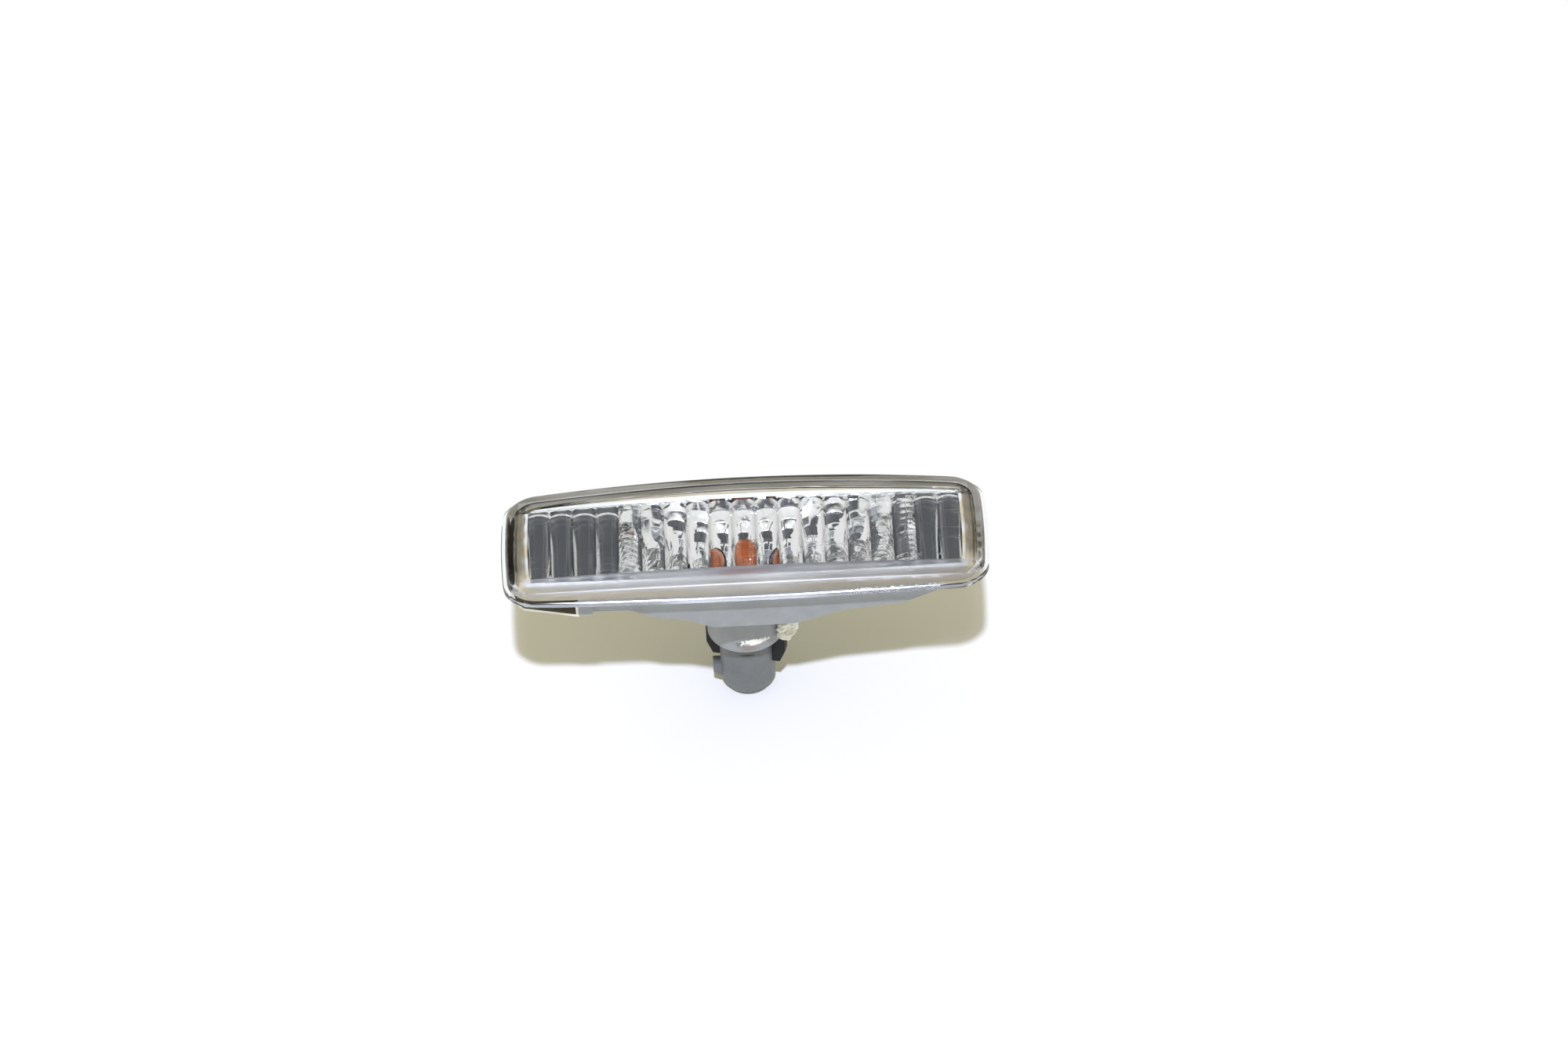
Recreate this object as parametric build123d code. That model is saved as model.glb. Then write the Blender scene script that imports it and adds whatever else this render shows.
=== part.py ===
from build123d import *

import math
import os

# Side repeater lamp for a car's front wing, in millimetres.
# The origin is the middle of the flange's back face, which seats on the panel.
# +Z points out through the lens, +X along the lamp, and the bulb holder hangs behind along -Z.

# Lens: the flange's outline is a rectangle with bowed sides and round corners
LENS_LENGTH = 112.0
LENS_HEIGHT = 38.6
FAR_SIDE_RADIUS = 580.0
NEAR_SIDE_RADIUS = 1400.0
END_RADIUS = 170.0
CORNER_RADIUS = 7.0
SMALLEST_CORNER = 0.8
FLANGE_THICKNESS = 1.3
FLANGE_LEDGE = 1.0
LENS_CREST = 4.8
CROWN_RADIUS = 1100.0
BORDER_WIDTH = 4.4
BORDER_DROP = 0.5
SHOULDER_CHAMFER = 0.8
LENS_WALL = 1.2
LENS_SIDE_WALL = 2.0
INNER_BORDER_WIDTH = 3.2
INNER_BORDER_DROP = 1.2
FLUTE_COUNT = 19
FLUTE_PITCH = 5.23
FLUTE_ROOT = 0.5
FLUTE_BULGE = 0.8
FLUTE_NEAR_REACH = 12.0
FLUTE_FAR_REACH = 10.7

# Housing: a plate inside the lens and a boat-shaped tray behind it
GLUE_GAP = 0.15
PLATE_THICKNESS = 1.0
PLATE_PROUD = 0.6
TRAY_INSET = 3.8
TRAY_WALL = 1.6
TRAY_EDGE_CHAMFER = 0.5
TRAY_LEFT_MARGIN = 17.8
TRAY_RIGHT_MARGIN = 10.4
SHELF_DEPTH = 5.6
SHELF_REACH = 26.2
LEFT_STEP_OUTER_DEPTH = 8.4
LEFT_STEP_OUTER_REACH = 19.9
LEFT_STEP_INNER_DEPTH = 9.2
LEFT_STEP_INNER_REACH = 13.6
KEEL_DEPTH = 12.0
KEEL_LEFT_REACH = 7.3
KEEL_RIGHT_REACH = 11.6
RIGHT_STEP_DEPTH = 8.6
RIGHT_STEP_LENGTH = 24.0
RIGHT_TOE_DEPTH = 7.3
RIGHT_TOE_LENGTH = 9.6
BOW_DEPTH = 4.5
BOW_RAKE = 2.4

# Collar and bayonet ledge, which take their bores from the bulb socket
BULB_X = -0.8
COLLAR_WALL = 1.6
COLLAR_LENGTH = 14.6
COLLAR_EDGE_CHAMFER = 0.3
LEDGE_SETBACK = 5.1
LEDGE_THICKNESS = 1.5
LUG_ARC = 32.0
LUG_SIDE_CLEARANCE = 3.0
UNLOCK_TURN = 60.0

# Panel hook at the right end
HOOK_GAP = 1.9
HOOK_THICKNESS = 1.6
HOOK_REACH = 5.0
HOOK_WIDTH = 12.0

# Retaining spring, a strip folded in a V, and its socket at the left end
SPRING_THICKNESS = 0.6
SPRING_WIDTH = 30.8
SPRING_LEG_GAP = 1.5
SPRING_HEEL_DROP = 0.2
SPRING_END_GAP = 1.6
SPRING_TIP_MARGIN = 2.4
SPRING_TAB_RISE = 2.4
SPRING_TAB_DEPTH = 1.5
SPRING_TAB_WIDTH = 24.0
SPRING_CLEARANCE = 0.05
SPRING_BLOCK_INSET = 3.1
SPRING_BLOCK_LENGTH = 3.2
SPRING_BLOCK_PROUD = 0.4

# Reflector
REFLECTOR_INSET = 4.5
REFLECTOR_SEAT_GAP = 0.05
REFLECTOR_THICKNESS = 0.6
BOWL_LEFT_MARGIN = 9.4
BOWL_RIGHT_MARGIN = 6.9
BOWL_SIDE_GAP = 0.1
BOWL_DEPTH = 8.6
BOWL_WALL = 0.8
FACET_COLUMNS = 22
FACET_ROWS = 6
FACET_BULGE = 0.12
BULB_HOLE_CLEARANCE = 1.0

# Bulb socket
NOSE_RADIUS = 6.0
NOSE_PROUD = 1.4
NOSE_CLEARANCE = 0.3
LUG_CLEARANCE = 0.25
LUG_SEAT_GAP = 0.1
SOCKET_RADIUS = 7.1
SOCKET_CLEARANCE = 0.3
SOCKET_RECESS = 1.1
SOCKET_LEDGE_GAP = 0.2
SPIGOT_RADIUS = 5.6
SPIGOT_LENGTH = 6.5
WING_ANGLE = -15.0
WING_THICKNESS = 2.2
WING_REACH = 2.0
WING_RIM_GAP = 0.8
WING_LENGTH = 8.0
WING_HEEL_LENGTH = 3.4
WING_HEEL_PROUD = 1.65
WING_CLEARANCE = 0.15

# Seal ring in the socket's groove
SEAL_THICKNESS = 1.2
SEAL_CLEARANCE = 0.08
SEAL_SETBACK = 1.9
SEAL_GROOVE_CLEARANCE = 0.05

# Plug shroud
SHROUD_WALL = 0.65
SHROUD_CLEARANCE = 0.1
SHROUD_SEAT_GAP = 0.05
SHROUD_LENGTH = 18.45
SHROUD_END_RADIUS = 3.5
SHROUD_END_STEPS = 2
PLUG_WIDTH = 8.6
PLUG_HEIGHT = 5.6
PLUG_CORNER_RADIUS = 1.0
LATCH_PROUD = 1.75
LATCH_WIDTH = 3.0
LATCH_SETBACK = 3.3
LATCH_LENGTH = 3.7
LATCH_RAMP = 1.4
WINDOW_WIDTH = 4.6
WINDOW_DEPTH = 0.3
WINDOW_LENGTH = 4.65

# Wedge-base bulb
BULB_RADIUS = 5.0
BULB_LENGTH = 26.8
BULB_SEAT_GAP = 0.3
BULB_SHOULDER_RADIUS = 2.4
BULB_WALL = 0.6
DOME_OUTER_STEPS = 3
DOME_INNER_STEPS = 1
BULB_SHOULDER_STEPS = 1
WEDGE_LENGTH = 10.0
WEDGE_WIDTH = 9.2
WEDGE_THICKNESS = 2.2
WEDGE_CHAMFER = 0.5
WEDGE_CLEARANCE = 0.12
LIGHT_CENTRE = 20.1
LEAD_RADIUS = 0.2
LEAD_SIDES = 4
LEAD_SPACING = 3.2
LEAD_CLEARANCE = 0.08
LEAD_RETURN = 5.8
FILAMENT_RADIUS = 0.28
FILAMENT_SIDES = 8
FILAMENT_GAP = 0.05

# Contacts
CONTACT_THICKNESS = 0.5
CONTACT_WIDTH = 2.2
CONTACT_X = 2.3
CONTACT_SETBACK = 0.8
CONTACT_JOG = 1.0
CONTACT_JOG_GAP = 0.4
CONTACT_BLADE = 6.0
CONTACT_CLEARANCE = 0.1

# Places and sizes that follow from the ones above
LENS_CAVITY_INSET = FLANGE_LEDGE + LENS_SIDE_WALL
CAVITY_CREST = LENS_CREST - LENS_WALL
PLATE_INSET = LENS_CAVITY_INSET + GLUE_GAP
PLATE_BACK = -PLATE_PROUD
PLATE_FRONT = PLATE_BACK + PLATE_THICKNESS
TRAY_LEFT = -LENS_LENGTH / 2 + TRAY_LEFT_MARGIN
TRAY_RIGHT = LENS_LENGTH / 2 - TRAY_RIGHT_MARGIN
COLLAR_BORE = SOCKET_RADIUS + SOCKET_CLEARANCE
COLLAR_RADIUS = COLLAR_BORE + COLLAR_WALL
COLLAR_RIM = -KEEL_DEPTH - COLLAR_LENGTH
LEDGE_BORE = NOSE_RADIUS + NOSE_CLEARANCE
LEDGE_BACK = COLLAR_RIM + LEDGE_SETBACK
LEDGE_FRONT = LEDGE_BACK + LEDGE_THICKNESS
SPRING_BLOCK_LEFT = TRAY_LEFT - SPRING_BLOCK_PROUD
SPRING_TAB_Z = -SHELF_DEPTH + SPRING_TAB_RISE
REFLECTOR_BACK = PLATE_FRONT + REFLECTOR_SEAT_GAP
REFLECTOR_FRONT = REFLECTOR_BACK + REFLECTOR_THICKNESS
BOWL_LEFT = TRAY_LEFT + BOWL_LEFT_MARGIN
BOWL_RIGHT = TRAY_RIGHT - BOWL_RIGHT_MARGIN
BOWL_HALF_HEIGHT = LENS_HEIGHT / 2 - TRAY_INSET - TRAY_WALL - BOWL_WALL - BOWL_SIDE_GAP
NOSE_FRONT = LEDGE_FRONT + NOSE_PROUD
LUG_RADIUS = COLLAR_BORE - LUG_CLEARANCE
LUG_ANGLES = (90, 270)
SOCKET_FRONT = LEDGE_BACK - SOCKET_LEDGE_GAP
SOCKET_BACK = COLLAR_RIM + SOCKET_RECESS
SPIGOT_BACK = SOCKET_BACK - SPIGOT_LENGTH
SEAL_Z = SOCKET_BACK + SEAL_SETBACK
SEAL_RADIUS = COLLAR_BORE - SEAL_CLEARANCE
SEAL_BORE = SEAL_RADIUS - SEAL_THICKNESS
SHROUD_BORE = SPIGOT_RADIUS + SHROUD_CLEARANCE
SHROUD_RADIUS = SHROUD_BORE + SHROUD_WALL
SHROUD_FRONT = SOCKET_BACK - SHROUD_SEAT_GAP
SHROUD_END = SHROUD_FRONT - SHROUD_LENGTH
WING_TIP_RADIUS = COLLAR_BORE + WING_REACH
WING_HEEL_RADIUS = SHROUD_RADIUS + WING_HEEL_PROUD
WING_FRONT = COLLAR_RIM - WING_RIM_GAP
WING_BACK = WING_FRONT - WING_LENGTH
BULB_SHOULDER = NOSE_FRONT + BULB_SEAT_GAP
BULB_BASE = BULB_SHOULDER - WEDGE_LENGTH
BULB_TIP = BULB_BASE + BULB_LENGTH
LEAD_TOP = BULB_BASE + LIGHT_CENTRE
LEAD_FACE_Y = WEDGE_THICKNESS / 2 + LEAD_RADIUS
POCKET_BACK = BULB_BASE - LEAD_FACE_Y / 2 - LEAD_RADIUS - WEDGE_CLEARANCE
CONTACT_Y = LEAD_FACE_Y + LEAD_RADIUS + CONTACT_THICKNESS / 2
CONTACT_FRONT = NOSE_FRONT - CONTACT_SETBACK
CONTACT_JOG_FRONT = POCKET_BACK - CONTACT_JOG_GAP
CONTACT_TIP = SPIGOT_BACK - CONTACT_BLADE
BULB_AXIS = Pos(BULB_X, 0, 0)
FAR_OUT = 100.0


def sagitta(radius, half_chord):
    return radius - math.sqrt(radius**2 - half_chord**2)


def corner_point(half_length, half_height, side_radius, end_radius):
    # where a bowed side and a bowed end would meet if the corner were sharp
    x, y = half_length, half_height
    for _ in range(8):
        x = half_length - sagitta(end_radius, y)
        y = half_height - sagitta(side_radius, x)
    return x, y


def outline(inset):
    # the flange's outline, moved inwards all round by the inset
    half_length = LENS_LENGTH / 2 - inset
    half_height = LENS_HEIGHT / 2 - inset
    far_x, far_y = corner_point(half_length, half_height, FAR_SIDE_RADIUS - inset, END_RADIUS - inset)
    near_x, near_y = corner_point(half_length, half_height, NEAR_SIDE_RADIUS - inset, END_RADIUS - inset)
    far_side = ThreePointArc((-far_x, far_y), (0, half_height), (far_x, far_y))
    right_end = ThreePointArc((far_x, far_y), (half_length, 0), (near_x, -near_y))
    near_side = ThreePointArc((near_x, -near_y), (0, -half_height), (-near_x, -near_y))
    left_end = ThreePointArc((-near_x, -near_y), (-half_length, 0), (-far_x, far_y))
    sharp = make_face([far_side, right_end, near_side, left_end])
    return fillet(sharp.vertices(), max(CORNER_RADIUS - inset, SMALLEST_CORNER))


def slab(inset, back, front):
    return Pos(0, 0, back) * extrude(outline(inset), front - back)


def side_profile(points):
    # a face in the XZ plane, from (x, z) points
    return make_face(Polyline([(x, 0, z) for x, z in points], close=True))


def across(face, width=FAR_OUT):
    # a prism through the lamp from its near side to its far side
    return extrude(face, width / 2, dir=(0, 1, 0), both=True)


def upright(radius, back, front):
    # a round bar on the bulb's axis
    bar = Cylinder(radius, front - back, align=(Align.CENTER, Align.CENTER, Align.MIN))
    return BULB_AXIS * Pos(0, 0, back) * bar


def turned(points):
    # a solid turned on the bulb's axis, from (radius, z) points
    return BULB_AXIS * revolve(side_profile(points), Axis.Z)


def rounding(centre_radius, centre_z, radius, start_deg, end_deg, steps):
    # points along an arc, which a turned profile follows in straight steps
    points = []
    for step in range(steps + 1):
        angle = math.radians(start_deg + (end_deg - start_deg) * step / steps)
        points.append((centre_radius + radius * math.cos(angle), centre_z + radius * math.sin(angle)))
    return points


def sector(inner, outer, back, front, middle_deg, arc_deg):
    # part of a ring on the bulb's axis, centred on an angle
    start = math.radians(middle_deg - arc_deg / 2)
    reach = 2 * outer
    rays = [(0, 0)]
    for step in range(3):
        angle = start + math.radians(arc_deg) * step / 2
        rays.append((reach * math.cos(angle), reach * math.sin(angle)))
    wedge = BULB_AXIS * Pos(0, 0, back) * extrude(make_face(Polyline(rays, close=True)), front - back)
    return (upright(outer, back, front) - upright(inner, back, front)) & wedge


def crowned_body(inset, crest, border_width, border_drop):
    # a slab with a front that is crowned along X and falls away in a sloping border
    roller = Pos(0, 0, crest - CROWN_RADIUS) * Rot(90, 0, 0) * Cylinder(CROWN_RADIUS, FAR_OUT)
    body = slab(inset, 0, 2 * crest) & roller
    front = body.faces().sort_by(Axis.Z)[-1]
    return chamfer(front.edges(), length=border_width, length2=border_drop, reference=front)


def shoulder_edges(body):
    # the edges where the upright wall turns into the sloping border
    walls = [face for face in body.faces() if abs(face.normal_at().Z) < 0.05]
    upper = [edge for wall in walls for edge in wall.edges() if edge.center().Z > FLANGE_THICKNESS]
    return [edge for edge in upper if abs(edge.tangent_at(0.5).Z) < 0.5]


def crown_drop(x):
    return sagitta(CROWN_RADIUS, abs(x))


def flute_block():
    # the nineteen flutes: round ribs on the lens's inner face that follow its crown and end upright
    half = FLUTE_COUNT * FLUTE_PITCH / 2
    valley = CAVITY_CREST - FLUTE_ROOT
    valleys = [-half + FLUTE_PITCH * number for number in range(FLUTE_COUNT + 1)]
    arcs = []
    for left, right in zip(valleys, valleys[1:]):
        middle = (left + right) / 2
        crest = (middle, 0, valley - crown_drop(middle) - FLUTE_BULGE)
        start = (left, 0, valley - crown_drop(left))
        end = (right, 0, valley - crown_drop(right))
        arcs.append(ThreePointArc(start, crest, end))
    top = 2 * LENS_CREST
    edge_z = valley - crown_drop(half)
    lid = Polyline((half, 0, edge_z), (half, 0, top), (-half, 0, top), (-half, 0, edge_z))
    section = Pos(0, -FLUTE_NEAR_REACH, 0) * make_face(arcs + [lid])
    return extrude(section, FLUTE_NEAR_REACH + FLUTE_FAR_REACH, dir=(0, 1, 0))


def build_lens():
    body = crowned_body(FLANGE_LEDGE, LENS_CREST, BORDER_WIDTH, BORDER_DROP)
    body = chamfer(shoulder_edges(body), SHOULDER_CHAMFER)
    cavity = crowned_body(LENS_CAVITY_INSET, CAVITY_CREST, INNER_BORDER_WIDTH, INNER_BORDER_DROP)
    return body + slab(0, 0, FLANGE_THICKNESS) - (cavity - flute_block())


def tray_profile():
    # the tray's outline seen from the side, deepest at the collar and open at the front
    open_front = 2 * LENS_CREST
    points = [
        (TRAY_LEFT, -SHELF_DEPTH),
        (BULB_X - SHELF_REACH, -SHELF_DEPTH),
        (BULB_X - LEFT_STEP_OUTER_REACH, -LEFT_STEP_OUTER_DEPTH),
        (BULB_X - LEFT_STEP_INNER_REACH, -LEFT_STEP_INNER_DEPTH),
        (BULB_X - KEEL_LEFT_REACH, -KEEL_DEPTH),
        (BULB_X + KEEL_RIGHT_REACH, -KEEL_DEPTH),
        (TRAY_RIGHT - RIGHT_STEP_LENGTH, -RIGHT_STEP_DEPTH),
        (TRAY_RIGHT - RIGHT_TOE_LENGTH, -RIGHT_TOE_DEPTH),
        (TRAY_RIGHT - BOW_RAKE, -BOW_DEPTH),
        (TRAY_RIGHT, open_front),
        (TRAY_LEFT, open_front),
    ]
    return side_profile(points)


def build_tray_body():
    tray = slab(TRAY_INSET, -2 * KEEL_DEPTH, 0) & across(tray_profile())
    floor_edges = [edge for edge in tray.edges() if edge.center().Z < -BOW_DEPTH / 2]
    return chamfer(floor_edges, TRAY_EDGE_CHAMFER) + slab(PLATE_INSET, PLATE_BACK, PLATE_FRONT)


def build_spring_block():
    middle = SPRING_BLOCK_LEFT + SPRING_BLOCK_LENGTH / 2
    reach = Pos(middle, 0, 0) * Box(SPRING_BLOCK_LENGTH, FAR_OUT, FAR_OUT)
    return slab(SPRING_BLOCK_INSET, -SHELF_DEPTH, PLATE_BACK) & reach


def build_spring_slot():
    length = SPRING_TAB_DEPTH + SPRING_CLEARANCE
    height = SPRING_THICKNESS + 2 * SPRING_CLEARANCE
    slot = Box(length, SPRING_TAB_WIDTH + 2 * SPRING_CLEARANCE, height)
    return Pos(SPRING_BLOCK_LEFT + length / 2, 0, SPRING_TAB_Z) * slot


def build_panel_hook():
    root = TRAY_RIGHT - 2 * TRAY_WALL
    hook = Box(TRAY_RIGHT + HOOK_REACH - root, HOOK_WIDTH, HOOK_THICKNESS, align=Align.MIN)
    hook = fillet(hook.edges().filter_by(Axis.Z).group_by(Axis.X)[-1], HOOK_THICKNESS)
    return Pos(root, -HOOK_WIDTH / 2, -HOOK_GAP - HOOK_THICKNESS) * hook


def build_collar():
    collar = upright(COLLAR_RADIUS, COLLAR_RIM, -KEEL_DEPTH + TRAY_WALL)
    rim_edges = collar.edges().filter_by(GeomType.CIRCLE).group_by(Axis.Z)[0]
    return chamfer(rim_edges, COLLAR_EDGE_CHAMFER)


def build_collar_bore():
    # the way in for the holder, narrowed by a ledge with two notches for its lugs
    bore = upright(COLLAR_BORE, COLLAR_RIM, LEDGE_BACK)
    bore += upright(LEDGE_BORE, LEDGE_BACK, LEDGE_FRONT)
    bore += upright(COLLAR_BORE, LEDGE_FRONT, -KEEL_DEPTH + 2 * TRAY_WALL)
    notch_arc = LUG_ARC + 2 * LUG_SIDE_CLEARANCE
    for lug_angle in LUG_ANGLES:
        notch_angle = lug_angle - UNLOCK_TURN
        bore += sector(LEDGE_BORE / 2, COLLAR_BORE, LEDGE_BACK, LEDGE_FRONT, notch_angle, notch_arc)
    return bore


def build_housing():
    solid = build_tray_body() + build_spring_block() + build_panel_hook() + build_collar()
    inside = across(offset(tray_profile(), -TRAY_WALL))
    hollow = slab(TRAY_INSET + TRAY_WALL, -2 * KEEL_DEPTH, LENS_CREST) & inside
    return solid - hollow - build_collar_bore() - build_spring_slot()


def build_retaining_spring():
    # an upright leg against the block, and a leaf that slants out behind the panel's edge
    leg_x = SPRING_BLOCK_LEFT - SPRING_CLEARANCE - SPRING_THICKNESS / 2
    leg_top = (leg_x, PLATE_BACK - SPRING_LEG_GAP)
    heel = (leg_x, -SHELF_DEPTH - SPRING_HEEL_DROP)
    leaf_end = (-LENS_LENGTH / 2, -SPRING_END_GAP - SPRING_THICKNESS / 2)
    strip = trace(Polyline(leg_top, heel, leaf_end), SPRING_THICKNESS)
    spring = across(Rot(90, 0, 0) * strip, SPRING_WIDTH)
    spring &= slab(SPRING_TIP_MARGIN, -2 * SHELF_DEPTH, 0)
    tab_length = SPRING_BLOCK_LEFT + SPRING_TAB_DEPTH - leg_x
    tab = Box(tab_length, SPRING_TAB_WIDTH, SPRING_THICKNESS)
    return spring + Pos(leg_x + tab_length / 2, 0, SPRING_TAB_Z) * tab


def bowl_point(column, row, columns, rows, grow):
    # a point of the bowl's grid, with its walls and depth grown outwards
    left, right = BOWL_LEFT - grow, BOWL_RIGHT + grow
    half_height = BOWL_HALF_HEIGHT + grow
    x = left + (right - left) * column / columns
    y = half_height * (2 * row / rows - 1)
    reach = left - BULB_X if x < BULB_X else right - BULB_X
    along = 1 - ((x - BULB_X) / reach) ** 2
    over = 1 - (y / half_height) ** 2
    return Vector(x, y, REFLECTOR_FRONT - (BOWL_DEPTH + grow) * along * over)


def pillow(corners, bulge):
    # one facet: straight edges, with its middle pushed out of their plane
    near_left, near_right, far_left, far_right = corners
    middle = (near_left + near_right + far_left + far_right) / 4 + Vector(0, 0, bulge)
    grid = [
        [near_left, (near_left + near_right) / 2, near_right],
        [(near_left + far_left) / 2, middle, (near_right + far_right) / 2],
        [far_left, (far_left + far_right) / 2, far_right],
    ]
    return Face.make_bezier_surface(grid)


def bowl_solid(columns, rows, bulge, grow):
    # the space inside the bowl: facets below, flat at the reflector's front
    facets = []
    for column in range(columns):
        for row in range(rows):
            places = [(column, row), (column + 1, row), (column, row + 1), (column + 1, row + 1)]
            corners = [bowl_point(i, j, columns, rows, grow) for i, j in places]
            facets.append(pillow(corners, bulge))
    rim = [bowl_point(i, 0, columns, rows, grow) for i in range(columns)]
    rim += [bowl_point(columns, j, columns, rows, grow) for j in range(rows)]
    rim += [bowl_point(i, rows, columns, rows, grow) for i in range(columns, 0, -1)]
    rim += [bowl_point(0, j, columns, rows, grow) for j in range(rows, 0, -1)]
    lid = Face(Wire.make_polygon(rim))
    return Solid(Shell(facets + [lid]))


def build_reflector():
    plate = slab(REFLECTOR_INSET, REFLECTOR_BACK, REFLECTOR_FRONT)
    shell = plate + bowl_solid(FACET_COLUMNS, FACET_ROWS, 0, BOWL_WALL)
    shell -= bowl_solid(FACET_COLUMNS, FACET_ROWS, FACET_BULGE, 0)
    return shell - upright(BULB_RADIUS + BULB_HOLE_CLEARANCE, -2 * KEEL_DEPTH, 0)


def grip_wings(clearance=0.0):
    # the two grip wings, or with a clearance, the slots that they need
    knee = WING_BACK + WING_HEEL_LENGTH
    back = WING_BACK - clearance
    points = [
        (SPIGOT_RADIUS / 2, SOCKET_BACK),
        (SOCKET_RADIUS, SOCKET_BACK),
        (SOCKET_RADIUS, WING_FRONT),
        (WING_TIP_RADIUS, WING_FRONT),
        (WING_TIP_RADIUS, knee),
        (WING_HEEL_RADIUS, back),
        (SPIGOT_RADIUS, back),
        (SPIGOT_RADIUS, SPIGOT_BACK),
        (SPIGOT_RADIUS / 2, SPIGOT_BACK),
    ]
    wing = across(side_profile(points), WING_THICKNESS + 2 * clearance)
    return [BULB_AXIS * Rot(0, 0, WING_ANGLE + turn) * wing for turn in (0, 180)]


def contact_path():
    # a contact strip from the bulb's base down to the blade, as (y, z) points
    return [
        (CONTACT_Y, CONTACT_FRONT),
        (CONTACT_Y, CONTACT_JOG_FRONT),
        (0, CONTACT_JOG_FRONT - CONTACT_JOG),
        (0, CONTACT_TIP),
    ]


def contact_strip(side, clearance=0.0):
    # side is -1 for the left contact and 1 for the right one, which faces the other way
    strip = trace(Polyline(contact_path()), CONTACT_THICKNESS + 2 * clearance)
    width = CONTACT_WIDTH + 2 * clearance
    flat = extrude(Plane.YZ * strip, width / 2, both=True)
    turned = flat if side < 0 else Rot(0, 0, 180) * flat
    return BULB_AXIS * Pos(side * CONTACT_X, 0, 0) * turned


def build_bulb_socket():
    socket = upright(NOSE_RADIUS, SOCKET_FRONT, NOSE_FRONT)
    socket += upright(SOCKET_RADIUS, SOCKET_BACK, SOCKET_FRONT)
    socket += upright(SPIGOT_RADIUS, SPIGOT_BACK, SOCKET_BACK)
    lug_back = LEDGE_FRONT + LUG_SEAT_GAP
    for lug_angle in LUG_ANGLES:
        socket += sector(NOSE_RADIUS / 2, LUG_RADIUS, lug_back, NOSE_FRONT, lug_angle, LUG_ARC)
    for wing in grip_wings():
        socket += wing
    groove_half = SEAL_THICKNESS / 2 + SEAL_GROOVE_CLEARANCE
    groove_floor = SEAL_BORE - SEAL_GROOVE_CLEARANCE
    groove = upright(COLLAR_RADIUS, SEAL_Z - groove_half, SEAL_Z + groove_half)
    groove -= upright(groove_floor, SEAL_Z - groove_half, SEAL_Z + groove_half)
    pocket_height = NOSE_FRONT - POCKET_BACK
    pocket = Box(WEDGE_WIDTH + 2 * WEDGE_CLEARANCE, WEDGE_THICKNESS + 2 * WEDGE_CLEARANCE, pocket_height)
    socket -= groove
    socket -= BULB_AXIS * Pos(0, 0, POCKET_BACK + pocket_height / 2) * pocket
    return cut_contact_channels(socket)


def cut_contact_channels(socket):
    channel_depth = CONTACT_Y + CONTACT_THICKNESS / 2 + CONTACT_CLEARANCE
    channel_width = CONTACT_WIDTH + 2 * CONTACT_CLEARANCE
    channel_height = NOSE_FRONT - POCKET_BACK
    for side in (-1, 1):
        channel = Box(channel_width, channel_depth, channel_height)
        place = Pos(side * CONTACT_X, -side * channel_depth / 2, POCKET_BACK + channel_height / 2)
        socket -= BULB_AXIS * place * channel
        socket -= contact_strip(side, CONTACT_CLEARANCE)
    return socket


def build_latch():
    # the nub that the plug's catch snaps behind
    front = SHROUD_END + LATCH_SETBACK + LATCH_LENGTH
    back = front - LATCH_LENGTH
    inside = SHROUD_RADIUS - SHROUD_WALL
    reach = SHROUD_RADIUS + LATCH_PROUD
    ramp = [(reach, front), (reach, back + LATCH_RAMP), (SHROUD_RADIUS, back)]
    points = [(inside, front)] + ramp + [(inside, back)]
    return BULB_AXIS * Rot(0, 0, 180) * across(side_profile(points), LATCH_WIDTH)


def build_plug_shroud():
    centre_radius = SHROUD_RADIUS - SHROUD_END_RADIUS
    centre_z = SHROUD_END + SHROUD_END_RADIUS
    profile = [(0, SHROUD_END), (0, SHROUD_FRONT), (SHROUD_RADIUS, SHROUD_FRONT)]
    profile += rounding(centre_radius, centre_z, SHROUD_END_RADIUS, 0, -90, SHROUD_END_STEPS)
    sleeve = turned(profile) + build_latch()
    mouth = RectangleRounded(PLUG_WIDTH, PLUG_HEIGHT, PLUG_CORNER_RADIUS)
    sleeve -= BULB_AXIS * Pos(0, 0, SHROUD_END) * extrude(mouth, SPIGOT_BACK - SHROUD_END)
    sleeve -= upright(SHROUD_BORE, SPIGOT_BACK, SHROUD_FRONT)
    for slot in grip_wings(WING_CLEARANCE):
        sleeve -= slot
    window = Box(WINDOW_WIDTH, 2 * WINDOW_DEPTH, WINDOW_LENGTH)
    return sleeve - BULB_AXIS * Pos(0, -SHROUD_RADIUS, SHROUD_FRONT - WINDOW_LENGTH / 2) * window


def build_holder_seal():
    back = SEAL_Z - SEAL_THICKNESS / 2
    front = SEAL_Z + SEAL_THICKNESS / 2
    return upright(SEAL_RADIUS, back, front) - upright(SEAL_BORE, back, front)


def round_bulb(inset, shoulder, dome_steps):
    # the bulb's round part, with its wall moved inwards by the inset
    radius = BULB_RADIUS - inset
    corner = BULB_SHOULDER_RADIUS - inset
    profile = [(0, shoulder)]
    profile += rounding(radius - corner, shoulder + corner, corner, -90, 0, BULB_SHOULDER_STEPS)
    profile += rounding(0, BULB_TIP - BULB_RADIUS, radius, 0, 90, dome_steps)
    return turned(profile)


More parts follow.
